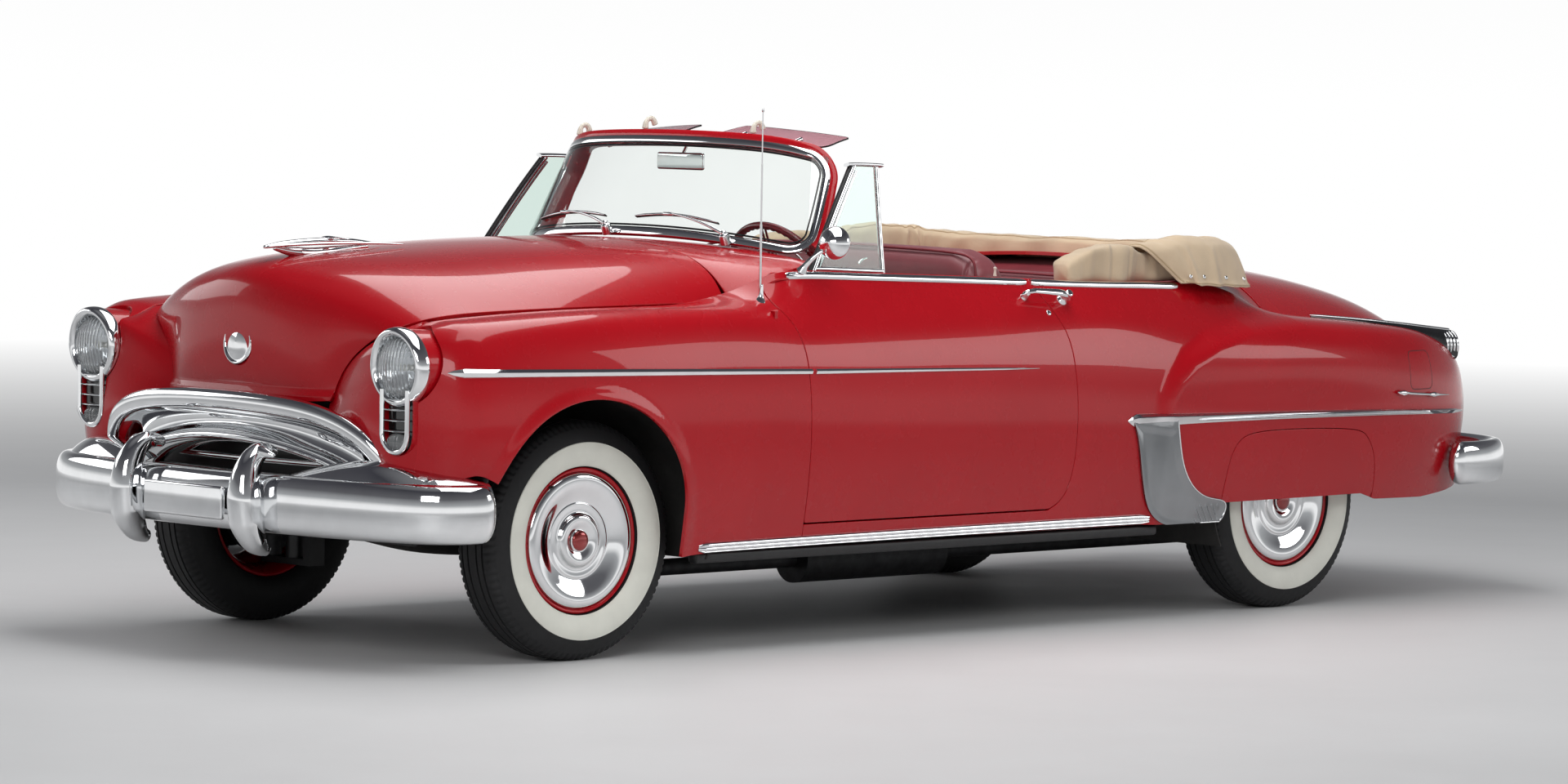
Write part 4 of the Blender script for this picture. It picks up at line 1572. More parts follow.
def shield_at(across, up):
    """A point on or beside the pane: metres along it from its middle, and metres up it from its foot."""
    u = np.asarray(up, float) / SHIELD_TALL
    v = 0.5 - np.asarray(across, float) / (2 * SHIELD_HALF)
    cu, cv = np.clip(u, 0.002, 0.998), np.clip(v, 0.002, 0.998)
    p = SHIELD.place(cu, cv)
    step = 0.0015
    du = (SHIELD.place(np.clip(cu + step, 0, 1), cv) - SHIELD.place(np.clip(cu - step, 0, 1), cv)) / (
        np.clip(cu + step, 0, 1) - np.clip(cu - step, 0, 1))[..., None]
    dv = (SHIELD.place(cu, np.clip(cv + step, 0, 1)) - SHIELD.place(cu, np.clip(cv - step, 0, 1))) / (
        np.clip(cv + step, 0, 1) - np.clip(cv - step, 0, 1))[..., None]
    n = np.cross(du, dv)
    n /= np.linalg.norm(n, axis=-1, keepdims=True)
    n = np.where(n[..., 1:2] > 0, -n, n)
    return p + du * (u - cu)[..., None] + dv * (v - cv)[..., None], n


def shield_loop(grow, radius):
    """A rounded outline about the pane, grown by some metres."""
    half, low, high = SHIELD_HALF + grow, -grow, SHIELD_TALL + grow
    radius = radius + grow
    line = rounded_loop(-half, half, low, high, radius, 16)
    out = []
    for (x0, z0), (x1, z1) in zip(line, line[1:] + line[:1]):
        steps = max(1, int(math.hypot(x1 - x0, z1 - z0) / 0.02))
        for t in np.arange(steps) / steps:
            out.append((x0 + (x1 - x0) * t, z0 + (z1 - z0) * t))
    return np.array(out)


loop_at = shield_loop(-0.010, 0.075)
points, normals = shield_at(loop_at[:, 0], loop_at[:, 1])
reveal_form = ((-0.012, -0.0135), (0.002, -0.0140), (0.0055, -0.0120), (0.0075, -0.004), (0.0070, 0.006),
               (0.0035, 0.0120), (-0.001, 0.0135), (-0.012, 0.0135))
bright("windshield_reveal", laid(points, normals, reveal_form, None, True),
       ("windshield_frame",), sharp=35)
loop_at = shield_loop(-0.029, 0.072)
points, normals = shield_at(loop_at[:, 0], loop_at[:, 1])
piece("windshield_seal", laid(points, normals, oval(0.0055, 0.0028, 12), None, True), BLACK, "body",
      "chassis_black", sharp=60)
full = shield_loop(0.011, 0.075)
full = np.roll(full, -int(np.argmin(np.hypot(full[:, 0] - 0.70, full[:, 1] + 0.019))), axis=0)
keep = full[(full[:, 1] > 0.028) | (np.abs(full[:, 0]) > 0.712)]
turned = np.arctan2(keep[:, 1] + 0.12, keep[:, 0])
keep = keep[np.argsort(turned)]
keep = keep[(keep[:, 1] > -0.012)]
points, normals = shield_at(keep[:, 0], keep[:, 1])
across_share = np.clip((keep[:, 1] - 0.02) / 0.20, 0, 1)
pillar_form = ((0.003, -0.0130), (0.005, -0.008), (0.005, 0.0), (0.003, 0.009), (-0.002, 0.0130),
               (-0.014, 0.0140), (-0.066, 0.0130), (-0.072, 0.008), (-0.072, -0.008), (-0.066, -0.0130),
               (-0.012, -0.0135))
deep = np.interp(across_share, (0, 1), (1.15, 0.90))
piece("windshield_surround", laid(points, normals, pillar_form, np.stack((deep, np.ones(len(deep))), -1)),
      RED, "body", "body_paint", sharp=50)
pane_skin = panel_mesh(SHIELD, np.linspace(0.02, 0.98, 40), np.linspace(0.01, 0.99, 90),
                       None, 0.0055, 0.001, flip=True)
piece("windshield_pane", pane_skin, GLASS, "body", "glass", ("windshield_glass",))


def wiper(pivot_x, tip_x):
    """One wiper: a spindle on the cowl, a bent arm, and a blade that rests along the foot of the pane."""
    sign = 1 if tip_x > pivot_x else -1
    blade_xs = np.linspace(pivot_x + sign * 0.05, tip_x, 40)
    ups = 0.052 + 0.012 * np.sin(np.linspace(0, math.pi, 40))
    place, out = shield_at(blade_xs / PANE_RUN, ups)
    blade = laid(place + out * 0.008, out, ((-0.006, -0.0015), (0.006, -0.0028), (0.007, 0.0028),
                                            (-0.006, 0.0015)))
    spine = laid(place + out * 0.017, out, oval(0.0022, 0.0034, 10),
                 eased((0, 0.1, 0.9, 1), (0.4, 1, 1, 0.4), 40))
    root, root_out = shield_at(np.array((pivot_x / PANE_RUN,)), np.array((0.002,)))
    start = root[0] + root_out[0] * 0.030 + np.array((0, 0, 0.010))
    middle = place[22] + out[22] * 0.024
    path = curve((start, start + (sign * 0.04, 0, 0.016), (start + middle) / 2 + (0, -0.004, 0.016), middle),
                 40)
    arm = sweep(path, oval(0.0032, 0.0042, 12), UP, eased((0, 0.15, 1), (1.7, 1.3, 0.7), 40), 0.003)
    cap = lathe(curve(((-0.030, 0.017), (-0.004, 0.0165), (0.002, 0.013), (0.006, 0.0095), (0.012, 0.0085),
                       (0.015, 0.0003)), 36), start, (0, -0.35, 0.94), 36)
    clip = sweep([middle - (sign * 0.02, 0, 0.003), middle + (sign * 0.02, 0, -0.003)],
                 oval(0.0045, 0.0055, 12), UP, None, 0.002)
    return merged(spine, arm, cap, clip), blade


near_arm, near_blade = wiper(0.420, 0.020)
far_arm, far_blade = wiper(-0.080, -0.490)
piece("wiper_arms", merged(near_arm, far_arm), STEEL, "body", "steel", sharp=50)
piece("wiper_blades", merged(near_blade, far_blade), BLACK, "body", "chassis_black", sharp=50)

# Clamps that held the top stand on the header, and the inside mirror hangs under it.
for n, x in enumerate((-0.555, -0.145, 0.360)):
    foot, out = shield_at(np.array((x / PANE_RUN,)), np.array((SHIELD_TALL + 0.018,)))
    base = foot[0] + np.array((0, 0.030, 0.014))
    hook = sweep(curve((base + (0, -0.020, -0.004), base + (0, -0.018, 0.014), base + (0, -0.004, 0.026),
                        base + (0, 0.012, 0.024), base + (0, 0.020, 0.008)), 30), oval(0.0085, 0.0060, 18),
                        (1, 0, 0),
                 eased((0, 0.3, 0.7, 1), (1.4, 0.9, 1.0, 1.3), 30), 0.004)
    piece("header_clamp_%d" % n, hook, IVORY, "body", "chrome", sharp=60)
back_mirror = rounded_box((-0.105, -0.618, 1.408), (0.105, -0.600, 1.462), 0.008)
bright("inside_mirror", back_mirror, sharp=50)
stem = sweep(((0, -0.604, 1.452), (0, -0.588, 1.478), (0, -0.578, 1.500)),
             oval(0.005, 0.005, 14), (1, 0, 0), None, 0.003)
bright("inside_mirror_stem", stem, sharp=60)

VISOR_FRONT = ((0.085, -0.566, 1.510), (0.310, -0.550, 1.502), (0.545, -0.515, 1.482))
VISOR_BACK = ((0.105, -0.425, 1.545), (0.300, -0.405, 1.538), (0.525, -0.385, 1.516))
VISOR_MIDDLE = tuple((np.array(a) + np.array(b)) / 2 + (0, 0, 0.004) for a, b in zip(VISOR_FRONT, VISOR_BACK))
VISOR = Surface([[np.array(p) for p in row] for row in (VISOR_FRONT, VISOR_MIDDLE, VISOR_BACK)])


def visor_keep(p):
    """A rounded outline in plan, with its inner rear corner cut back further."""
    xs = p[..., 0]
    mid_y = np.interp(xs, (0.08, 0.30, 0.53), (-0.492, -0.475, -0.450))
    across = np.abs(p[..., 1] - mid_y) - 0.062
    along = np.abs(xs - 0.312) - 0.226
    r = 0.030
    dx, dy = along + r, across + r
    return -(np.hypot(np.maximum(dx, 0), np.maximum(dy, 0)) + np.minimum(np.maximum(dx, dy), 0) - r)


visor_sheet = panel_mesh(VISOR, shares(70), shares(150), visor_keep, 0.0055, 0.0018)
piece("visor_sheets", both(visor_sheet), TINT, "body", "visor_tint", ("sun_visors",))
visor_parts = []
for x in (0.190, 0.415):
    low_y = np.interp(x, (0.08, 0.30, 0.53), (-0.560, -0.545, -0.513))
    z = np.interp(x, (0.085, 0.30, 0.52), (1.508, 1.500, 1.482))
    visor_parts.append(sweep(curve(((x, low_y - 0.006, z - 0.018), (x, low_y - 0.008, z - 0.002),
                                    (x, low_y + 0.006, z + 0.008), (x, low_y + 0.045, z + 0.019)), 24),
                                    oval(0.010, 0.0035, 16), (1, 0, 0), None, 0.002))
visor_parts.append(sweep(((0.10, -0.572, 1.505), (0.30, -0.557, 1.497), (0.52, -0.523, 1.480)),
                         oval(0.0045, 0.0045, 14), UP, None, 0.003))
bright("visor_clips", both(merged(*visor_parts)), sharp=50)

mast_base = np.array((0.810, -1.0226, 1.022))
mast = [(0.000, 0.0040), (0.240, 0.0038), (0.2405, 0.0030), (0.420, 0.0028), (0.4205, 0.0021),
        (0.575, 0.0019), (0.5765, 0.0034), (0.581, 0.0042), (0.586, 0.0032), (0.588, 0.0003)]
piece("antenna_mast", lathe(mast, mast_base, UP, 20), STEEL, "body", "steel", ("antenna",), sharp=40)
foot = ((-0.010, 0.0230), (0.000, 0.0225), (0.006, 0.0195), (0.016, 0.0150), (0.024, 0.0105), (0.036, 0.0070),
        (0.060, 0.0048), (0.064, 0.0035))
bright("antenna_foot", lathe(curve(foot, 50), mast_base, (0.12, 0, 1), 40), sharp=60)

# The cabin.

def face_lines(count, edge):
    """Places from 0 to 1 that crowd towards both ends."""
    t = shares(count)
    return (1 - edge) * t + edge * (0.5 - 0.5 * np.cos(math.pi * t))


def pad(low, high, radius, counts, form):
    """A closed stuffed form: a rounded box whose points a form function then moves."""
    low, high = np.asarray(low, float), np.asarray(high, float)
    span = high - low
    points, faces = [], []
    start = 0
    for k in range(3):
        a, b = [n for n in range(3) if n != k]
        s, t = np.meshgrid(face_lines(counts[a], 0.6), face_lines(counts[b], 0.6), indexing="ij")
        for value in (0.0, 1.0):
            q = np.zeros(s.shape + (3,))
            q[..., k] = value
            q[..., a] = s
            q[..., b] = t
            points.append(q.reshape(-1, 3))
            ids = start + np.arange(s.size).reshape(s.shape)
            quads = np.stack((ids[:-1, :-1], ids[1:, :-1], ids[1:, 1:], ids[:-1, 1:]), -1).reshape(-1, 4)
            faces.append(quads)
            start += s.size
    points = np.concatenate(points)
    _, first, index = np.unique(np.round(points, 6), axis=0, return_index=True, return_inverse=True)
    index = index.reshape(-1)
    unit = points[first]
    faces = index[np.concatenate(faces)]
    place = low + unit * span
    core = np.clip(place, low + radius, high - radius)
    out = place - core
    length = np.linalg.norm(out, axis=1, keepdims=True)
    out = out / np.maximum(length, 1e-9)
    place = core + out * radius
    return form(place, out, unit), faces.tolist(), None


def pleat(value, count, depth):
    """Sewn channels across a pad: narrow grooves with full rolls between them."""
    phase = np.abs((value * count) % 1.0 - 0.5) * 2
    roll = np.sqrt(np.clip(1 - phase ** 2.6, 0, 1))
    return depth * (roll - 1)


def bulge(u, power=4):
    return 1 - np.abs(2 * u - 1) ** power


def bench_cushion(crown, pleats, side_margin):
    def form(place, out, unit):
        x, y, z = unit[:, 0], unit[:, 1], unit[:, 2]
        top = np.clip(out[:, 2], 0, 1)
        inside = (x > side_margin) & (x < 1 - side_margin)
        lane = pleat((x - side_margin) / (1 - 2 * side_margin), pleats, PLEAT_DEPTH) * inside
        edge = smoothstep(np.minimum(np.abs(x - side_margin), np.abs(x - 1 + side_margin)) / 0.008)
        groove = 0.010 * (1 - edge) * (np.abs(out[:, 1]) + top > 0.2)
        fade = smoothstep(np.minimum(y, 1 - y) / 0.10)
        lift = crown * bulge(x, 6) * bulge(y, 4) * top
        seats = np.exp(-((x - 0.27) / 0.10) ** 2) + np.exp(-((x - 0.73) / 0.10) ** 2)
        sag = -0.010 * seats * bulge(y) * top
        moved = place + out * (lane * fade * top + lift + sag - groove * top)[:, None]
        pull = 0.008 * bulge(z, 2) * (1 - np.abs(out[:, 2]))
        return moved - out * np.where(np.abs(out[:, 2]) < 0.5, -pull, 0)[:, None]
    return form


def bench_back(crown, pleats, side_margin, lean):
    def form(place, out, unit):
        x, z = unit[:, 0], unit[:, 2]
        front = np.clip(-out[:, 1], 0, 1)
        inside = (x > side_margin) & (x < 1 - side_margin)
        lane = pleat((x - side_margin) / (1 - 2 * side_margin), pleats, PLEAT_DEPTH) * inside
        fade = smoothstep(z / 0.05) * smoothstep((0.86 - z) / 0.05)
        edge = smoothstep(np.minimum(np.abs(x - side_margin), np.abs(x - 1 + side_margin)) / 0.008)
        seam = np.exp(-((z - 0.86) / 0.008) ** 2) * 0.008
        lift = crown * bulge(x, 6) * bulge(z, 4)
        stands_out = lane * fade * front + lift * front - (0.009 * (1 - edge) + seam) * front
        moved = place + out * stands_out[:, None]
        back = np.clip(out[:, 1], 0, 1)
        moved = moved + out * (crown * 0.5 * bulge(x, 4) * bulge(z, 4) * back)[:, None]
        corner = smoothstep((np.abs(2 * x - 1) - 0.80) / 0.20) * smoothstep((z - 0.55) / 0.45)
        moved[:, 2] -= corner * 0.035
        moved[:, 1] += lean * z
        moved[:, 2] += 0.010 * bulge(x, 2) * smoothstep((z - 0.7) / 0.3)
        return moved
    return form


seat = pad((-0.650, -0.455, 0.345), (0.650, 0.085, 0.625), 0.055, (240, 60, 34),
           bench_cushion(0.022, 22, 0.035))
front_cushion = piece("front_cushion", seat, HIDE, "body", "leather", ("front_seat",))
seat = pad((-0.650, 0.015, 0.360), (0.650, 0.170, 1.168), 0.062, (240, 40, 90),
           bench_back(0.018, 22, 0.035, 0.035))
front_back = piece("front_back", seat, HIDE, "body", "leather")
seat = pad((-0.559, 0.548, 0.345), (0.559, 0.815, 0.605), 0.055, (210, 50, 30),
           bench_cushion(0.022, 19, 0.04))
rear_cushion = piece("rear_cushion", seat, HIDE, "body", "leather", ("rear_seat",))
seat = pad((-0.559, 0.735, 0.480), (0.559, 0.880, 1.070), 0.055, (210, 36, 80),
           bench_back(0.018, 19, 0.04, 0.060))
rear_back = piece("rear_back", seat, HIDE, "body", "leather")


def piping(points, radius=0.0045):
    return sweep(curve(points, 120), oval(radius, radius, 10), UP, None, 0.003)


def back_welt(half, y, top, drop, foot):
    side_in = half - 0.012
    line = [(-side_in, y, foot), (-side_in, y, (foot + top) / 2), (-side_in, y + 0.004, top - drop - 0.05),
            (-side_in + 0.03, y + 0.006, top - drop + 0.012), (-side_in + 0.16, y + 0.006, top - 0.004),
            (0, y + 0.006, top + 0.004)]
    return line + [(-x, yy, z) for x, yy, z in line[:-1][::-1]]


welts = merged(piping(back_welt(0.650, 0.060, 1.168, 0.035, 0.640)),
               piping(back_welt(0.559, 0.800, 1.072, 0.035, 0.620)))
piece("seat_piping", welts, PANEL_HIDE, "body", "leather")


def trim_panel(place, out, unit):
    y, z = unit[:, 1], unit[:, 2]
    face = np.clip(-out[:, 0], 0, 1)
    lower = smoothstep((0.62 - z) / 0.02) * smoothstep((z - 0.10) / 0.02)
    lane = pleat(y, 16, 0.007) * lower * smoothstep(np.minimum(y, 1 - y) / 0.04)
    seam = 0.006 * np.exp(-((z - 0.64) / 0.010) ** 2)
    return place + out * ((lane - seam) * face + 0.006 * bulge(y) * bulge(z) * face)[:, None]


quarter_trim = pad((0.572, 0.215, 0.350), (0.772, 0.905, 1.062), 0.028, (14, 150, 80), trim_panel)
piece("quarter_trims", both(quarter_trim), PANEL_HIDE, "body", "leather")
door_trim = pad((0.664, -0.830, 0.385), (0.704, 0.098, 1.072), 0.014, (8, 190, 80), trim_panel)
for side, turned in (("left", False), ("right", True)):
    def handed(data):
        return mirror_x(data) if turned else data
    piece("door_trim_" + side, handed(door_trim), PANEL_HIDE, "door_" + side, "leather")
    ledge = [(0.742 - 0.010 * t, -0.885 + 0.985 * t,
              1.104 - 0.034 * t + 0.004 * math.sin(math.pi * t)) for t in
             shares(40)]
    piece("door_ledge_" + side, handed(sweep(ledge, oval(0.046, 0.013, 24, 0.7), UP, None, 0.006)), RED,
          "door_" + side, "body_paint", sharp=60)
    rest = pad((0.612, -0.420, 0.760), (0.670, -0.060, 0.815), 0.022, (12, 50, 12),
               lambda place, out, unit: place + out * 0.003 * bulge(unit[:, 1:2], 4))
    piece("arm_rest_" + side, handed(rest), HIDE, "door_" + side, "leather")
    crank = sweep(curve(((0.655, -0.520, 0.890), (0.640, -0.500, 0.905), (0.636, -0.450, 0.925),
                         (0.630, -0.430, 0.930)), 24),
                  oval(0.006, 0.006, 12), UP, None, 0.004)
    hub = lathe(curve(((0.0, 0.020), (0.006, 0.019), (0.010, 0.012), (0.014, 0.0003)), 24),
                (0.664, -0.520, 0.890), (-1, 0, 0), 32)
    pull = sweep(curve(((0.655, -0.160, 0.900), (0.640, -0.150, 0.905), (0.638, -0.100, 0.908),
                        (0.640, -0.060, 0.902)), 24),
                 oval(0.005, 0.009, 12), UP, None, 0.004)
    piece("door_cranks_" + side, handed(merged(crank, hub, pull)), CHROME, "door_" + side, "chrome", sharp=50)
ledge = [(0.738 + 0.006 * t, 0.128 + 0.60 * t, 1.072 - 0.010 * t) for t in shares(30)]
piece("quarter_ledges", both(sweep(ledge, oval(0.050, 0.012, 24, 0.7), UP, None, 0.006)), RED, "body",
      "body_paint", sharp=60)

# A trimmed panel closes the well behind the rear backrest, up to the folded top.
WELL_ROWS = ((0.868, 1.040, 0.600), (0.930, 1.062, 0.640), (1.040, 1.078, 0.660), (1.120, 1.092, 0.640),
             (1.190, 1.104, 0.590))
WELL = Surface([[np.array((half * t, y, z + 0.014 * (1 - t * t))) for t in np.linspace(-1, 1, 7)]
                for y, z, half in WELL_ROWS])
well = panel_mesh(WELL, shares(40), shares(90), None, 0.010, 0.003,
                  flip=faces_down(WELL))
piece("well_panel", well, PANEL_HIDE, "body", "leather")

# Carpets lie on the floor in front of each seat.


def carpet(name, low, high):
    rows = []
    for y in np.linspace(low[1], high[1], 6):
        rows.append([np.array((x, y, low[2] + 0.0015 * math.sin(9 * x + 5 * y)))
                     for x in np.linspace(low[0], high[0], 8)])
    form = Surface(rows)
    data = panel_mesh(form, shares(40), shares(60), None, 0.007, 0.002,
                      flip=faces_down(form))
    mat = piece(name, data, CARPET, "body", "underbody")


CARPET_Z = 0.3515
carpet("front_carpet", (-0.700, -0.860, CARPET_Z), (0.700, -0.462, CARPET_Z))
carpet("rear_carpet", (-0.560, 0.215, CARPET_Z), (0.560, 0.540, CARPET_Z))

# The instrument panel: a rolled top, a face with a bright strip, a dial pod, a grille and two small dials.
dash_form = np.array(((-0.030, 0.092), (0.010, 0.098), (0.055, 0.088), (0.078, 0.060), (0.082, 0.020),
                      (0.074, -0.030), (0.060, -0.075), (0.046, -0.096), (0.020, -0.098), (-0.028, -0.090)))
dash_closed = np.concatenate((dash_form, dash_form[:1]))
dash_form = curve(dash_closed, 60)[:-1]
dash_path = curve(((0.655, -0.765, 0.985), (0.560, -0.782, 0.988), (0.300, -0.800, 0.990),
                   (0.0, -0.808, 0.990), (-0.300, -0.800, 0.990), (-0.560, -0.782, 0.988),
                   (-0.655, -0.765, 0.985)), 80)
piece("dash_panel", sweep(dash_path, dash_form, UP), RED, "body", "body_paint", ("dashboard",), sharp=60)
strip_path = dash_path + np.array((0, 0.0815, 0.006))
dash_bits = [sweep(strip_path[3:-3], oval(0.0035, 0.0065, 12), UP, None, 0.003)]
pod_centre = np.array((0.377, -0.712, 1.006))
rim_form = ring_section(0.006, 0.006, 0.0830, 14)
dash_bits.append(lathe(rim_form, pod_centre, (0, 1, 0.12), 64, closed=True))
for x in (-0.055, 0.085):
    small = ring_section(0.004, 0.004, 0.034, 12)
    dash_bits.append(lathe(small, (x, -0.722, 0.990), (0, 1, 0.05), 40, closed=True))
for n in range(11):
    x = -0.145 - 0.016 * n
    dash_bits.append(sweep([(x, -0.724, 0.950), (x, -0.719, 0.990), (x, -0.722, 1.030)],
                           oval(0.0032, 0.0030, 10), (0, 1, 0), None, 0.002))
bright("dash_brightwork", merged(*dash_bits), sharp=50)
faces_of_dials = [lathe(((-0.002, 0.0780), (0.001, 0.0775), (0.0015, 0.0003)), pod_centre, (0, 1, 0.12), 56)]
for x in (-0.055, 0.085):
    faces_of_dials.append(lathe(((-0.002, 0.031), (0.001, 0.0308), (0.0015, 0.0003)), (x, -0.722, 0.990),
                                (0, 1, 0.05), 40))
piece("dial_faces", merged(*faces_of_dials), IVORY, "body", "chrome", sharp=60)

# The steering wheel turns on its raked column: a grooved rim, three sprung spokes, a hub and a horn ring.
wheel_centre = spot(0.400, 0.395, 0.880)
rake = math.radians(28)
wheel_axis = np.array((0.0, math.cos(rake), math.sin(rake)))
rim_ring = [(0.0125 * math.sin(a), 0.215 + 0.0110 * math.cos(a)) for a in around(22)]


def finger_grooves(turn_at, along, radius):
    inner = np.clip((0.2155 - radius) / 0.011, 0, 1)
    return 0.0025 * inner * np.cos(turn_at * 54)


steering_parts = [lathe(rim_ring, wheel_centre, wheel_axis, 324, closed=True, ripple=finger_grooves)]
hub_form = ((-0.030, 0.0300), (-0.004, 0.0400), (0.006, 0.0400), (0.012, 0.0360), (0.016, 0.0280),
            (0.017, 0.0003))
steering_parts.append(lathe(curve(hub_form, 40), wheel_centre, wheel_axis, 56))
sideways = np.array((1.0, 0.0, 0.0))
upwards = np.cross(wheel_axis, sideways)
for spoke_at in (-60, 60, 180):
    a = math.radians(spoke_at + 90)
    direction = sideways * math.cos(a) + upwards * math.sin(a)
    for shift in (-0.008, 0.008):
        across_way = np.cross(direction, wheel_axis) * shift
        steering_parts.append(sweep(curve((wheel_centre + direction * 0.030 + across_way,
                                           wheel_centre + direction * 0.120
                                           + across_way - wheel_axis * 0.010,
                                           wheel_centre + direction * 0.208 + across_way),
                                          20), oval(0.0042, 0.0034, 12), wheel_axis))
piece("steering_rim", merged(*steering_parts), PLASTIC, "steering_wheel", "steering_plastic",
      ("steering_wheel",), sharp=60)
horn_form = [(0.014 + 0.0034 * math.sin(a), 0.140 + 0.0034 * math.cos(a)) for a in around(12)]
horn_bits = [lathe(horn_form, wheel_centre, wheel_axis, 96, closed=True),
             lathe(curve(((0.014, 0.0300), (0.020, 0.0270), (0.025, 0.0160), (0.027, 0.0003)), 30),
                   wheel_centre, wheel_axis, 48)]
for spoke_at in (20, 160, 270):
    a = math.radians(spoke_at)
    direction = sideways * math.cos(a) + upwards * math.sin(a)
    horn_bits.append(sweep((wheel_centre + wheel_axis * 0.016 + direction * 0.024,
                            wheel_centre + wheel_axis * 0.014
                            + direction * 0.080, wheel_centre + wheel_axis * 0.014 + direction * 0.139),
                           oval(0.0030, 0.0024, 10), wheel_axis))
piece("horn_ring", merged(*horn_bits), CHROME, "steering_wheel", "chrome", sharp=60)
lever = sweep(curve((wheel_centre - wheel_axis * 0.075 + (-0.025, 0, 0),
                     wheel_centre - wheel_axis * 0.070 + (-0.090, 0, 0.015),
                     wheel_centre - wheel_axis * 0.050 + (-0.150, 0, 0.030)), 20), oval(0.0045, 0.0045, 12),
                     UP, None, 0.004)
knob_turn = ((-0.012, 0.004), (-0.006, 0.0105), (0.004, 0.0125), (0.012, 0.0085), (0.015, 0.0003))
knob = lathe(curve(knob_turn, 24),
             wheel_centre - wheel_axis * 0.049 + (-0.158, 0, 0.032), (-1, 0, 0.2), 28)
bright("shift_lever", lever, sharp=60)
piece("shift_knob", knob, PLASTIC, "body", "steering_plastic", sharp=60)

# The folded top in its canvas boot.

# Each row: place on the plan, the cover's reach inwards and outwards, its top, its inner foot
# and its outer hem.
BOOT_ROWS = (
    (0.732, 0.690, 0.056, 0.054, 1.184, 1.090, 1.064), (0.734, 0.790, 0.064, 0.068, 1.204, 1.088, 1.060),
    (0.730, 0.900, 0.072, 0.082, 1.216, 1.088, 1.056), (0.718, 1.020, 0.082, 0.092, 1.214, 1.090, 1.050),
    (0.686, 1.125, 0.088, 0.092, 1.203, 1.096, 1.046), (0.600, 1.190, 0.080, 0.080, 1.193, 1.104, 1.062),
    (0.440, 1.210, 0.072, 0.068, 1.188, 1.110, 1.098), (0.220, 1.218, 0.066, 0.060, 1.186, 1.112, 1.122),
    (0.0, 1.220, 0.064, 0.058, 1.186, 1.112, 1.128))
BOOT_STEPS = 460
boot_rows = [np.array(r) for r in BOOT_ROWS]
boot_rows = np.array(boot_rows + [r * (-1, 1, 1, 1, 1, 1, 1) for r in boot_rows[:-1][::-1]])
boot_line = curve([np.array((r[0], r[1], 0.0)) for r in boot_rows], BOOT_STEPS)
boot_size = np.concatenate((curve(boot_rows[:, 2:5], BOOT_STEPS),
                            curve(boot_rows[:, 4:7], BOOT_STEPS)[:, 1:]), 1)


def cover_form(count):
    """The cover over the folded roof: a high back, a flat inner wall and a skirt down to a snapped hem."""
    _, side, _ = frames(boot_line, UP)
    out_way = side * np.sign((side * (boot_line - np.array((0, 0.30, 0.0)))).sum(1, keepdims=True))
    within, beyond, top, foot, hem = [boot_size[:, k][:, None] for k in range(5)]
    t = shares(count)[None]
    shape_at = np.array((0.0, 0.10, 0.22, 0.34, 0.46, 0.58, 0.70, 0.84, 0.93, 1.0))
    reach = np.interp(t, shape_at, (-0.96, -1.0, -0.97, -0.78, -0.30, 0.24, 0.66, 0.95, 1.10, 1.16))
    rise = np.interp(t, shape_at, (0.0, 0.40, 0.78, 0.95, 1.00, 0.985, 0.84, 0.42, 0.14, 0.0))
    kernel = np.hanning(9)
    kernel /= kernel.sum()
    for _ in range(2):
        reach = np.convolve(np.pad(reach[0], 4, mode="edge"), kernel, mode="valid")[None]
        rise = np.convolve(np.pad(rise[0], 4, mode="edge"), kernel, mode="valid")[None]
    across = np.where(reach < 0, reach * within, reach * beyond)
    base = np.where(t < 0.46, foot, hem)
    high = base + rise * (top - base)
    share = shares(BOOT_STEPS)[:, None]
    near = np.minimum(share, 1 - share)
    pull = np.zeros_like(across)
    for at_share, lean, depth, width, where in (
            (0.020, 0.030, 0.010, 0.0060, 0.30), (0.060, 0.045, 0.007, 0.0080, 0.75),
            (0.118, -0.030, 0.006, 0.0080, 0.80), (0.150, 0.030, 0.009, 0.0070, 0.20),
            (0.182, -0.020, 0.010, 0.0070, 0.25), (0.212, 0.028, 0.008, 0.0080, 0.85),
            (0.255, -0.020, 0.006, 0.0080, 0.82), (0.300, 0.020, 0.004, 0.0090, 0.30),
            (0.375, -0.024, 0.004, 0.0090, 0.70)):
        middle = at_share + lean * (t - where)
        ridge = np.exp(-((near - middle) / width) ** 2)
        trough = np.exp(-((near - middle - 0.013) / (width * 1.5)) ** 2)
        pull = pull - depth * (ridge - 0.5 * trough) * np.exp(-((t - where) / 0.30) ** 2)
    slack = (0.0022 * np.sin(share * 61 + 5 * t) + 0.0016 * np.sin(share * 113 + 9 * t + 1.7)
             + 0.0030 * np.sin(share * 150) * smoothstep((t - 0.80) / 0.2)
             + 0.0030 * np.sin(share * 96) * smoothstep((0.2 - t) / 0.2))
    swell_by = pull + slack
    slope_a = np.gradient(across, axis=1)
    slope_h = np.gradient(high, axis=1)
    length = np.hypot(slope_a, slope_h) + 1e-9
    across = across + slope_h / length * swell_by
    high = high + slope_a / length * swell_by
    hem_flare = 0.006 * smoothstep((t - 0.93) / 0.07)
    across = across + hem_flare
    place = boot_line[:, None] + out_way[:, None] * across[..., None]
    place = place + np.array((0, 0, 1.0)) * high[..., None]
    # The front edge runs down and back from the top of the roll.
    end = smoothstep((0.075 - near) / 0.075)
    lower = np.clip((1.19 - place[..., 2]) / 0.13, 0, 1) * smoothstep((t - 0.45) / 0.1)
    place[..., 1] += 0.155 * end * lower
    return place, out_way


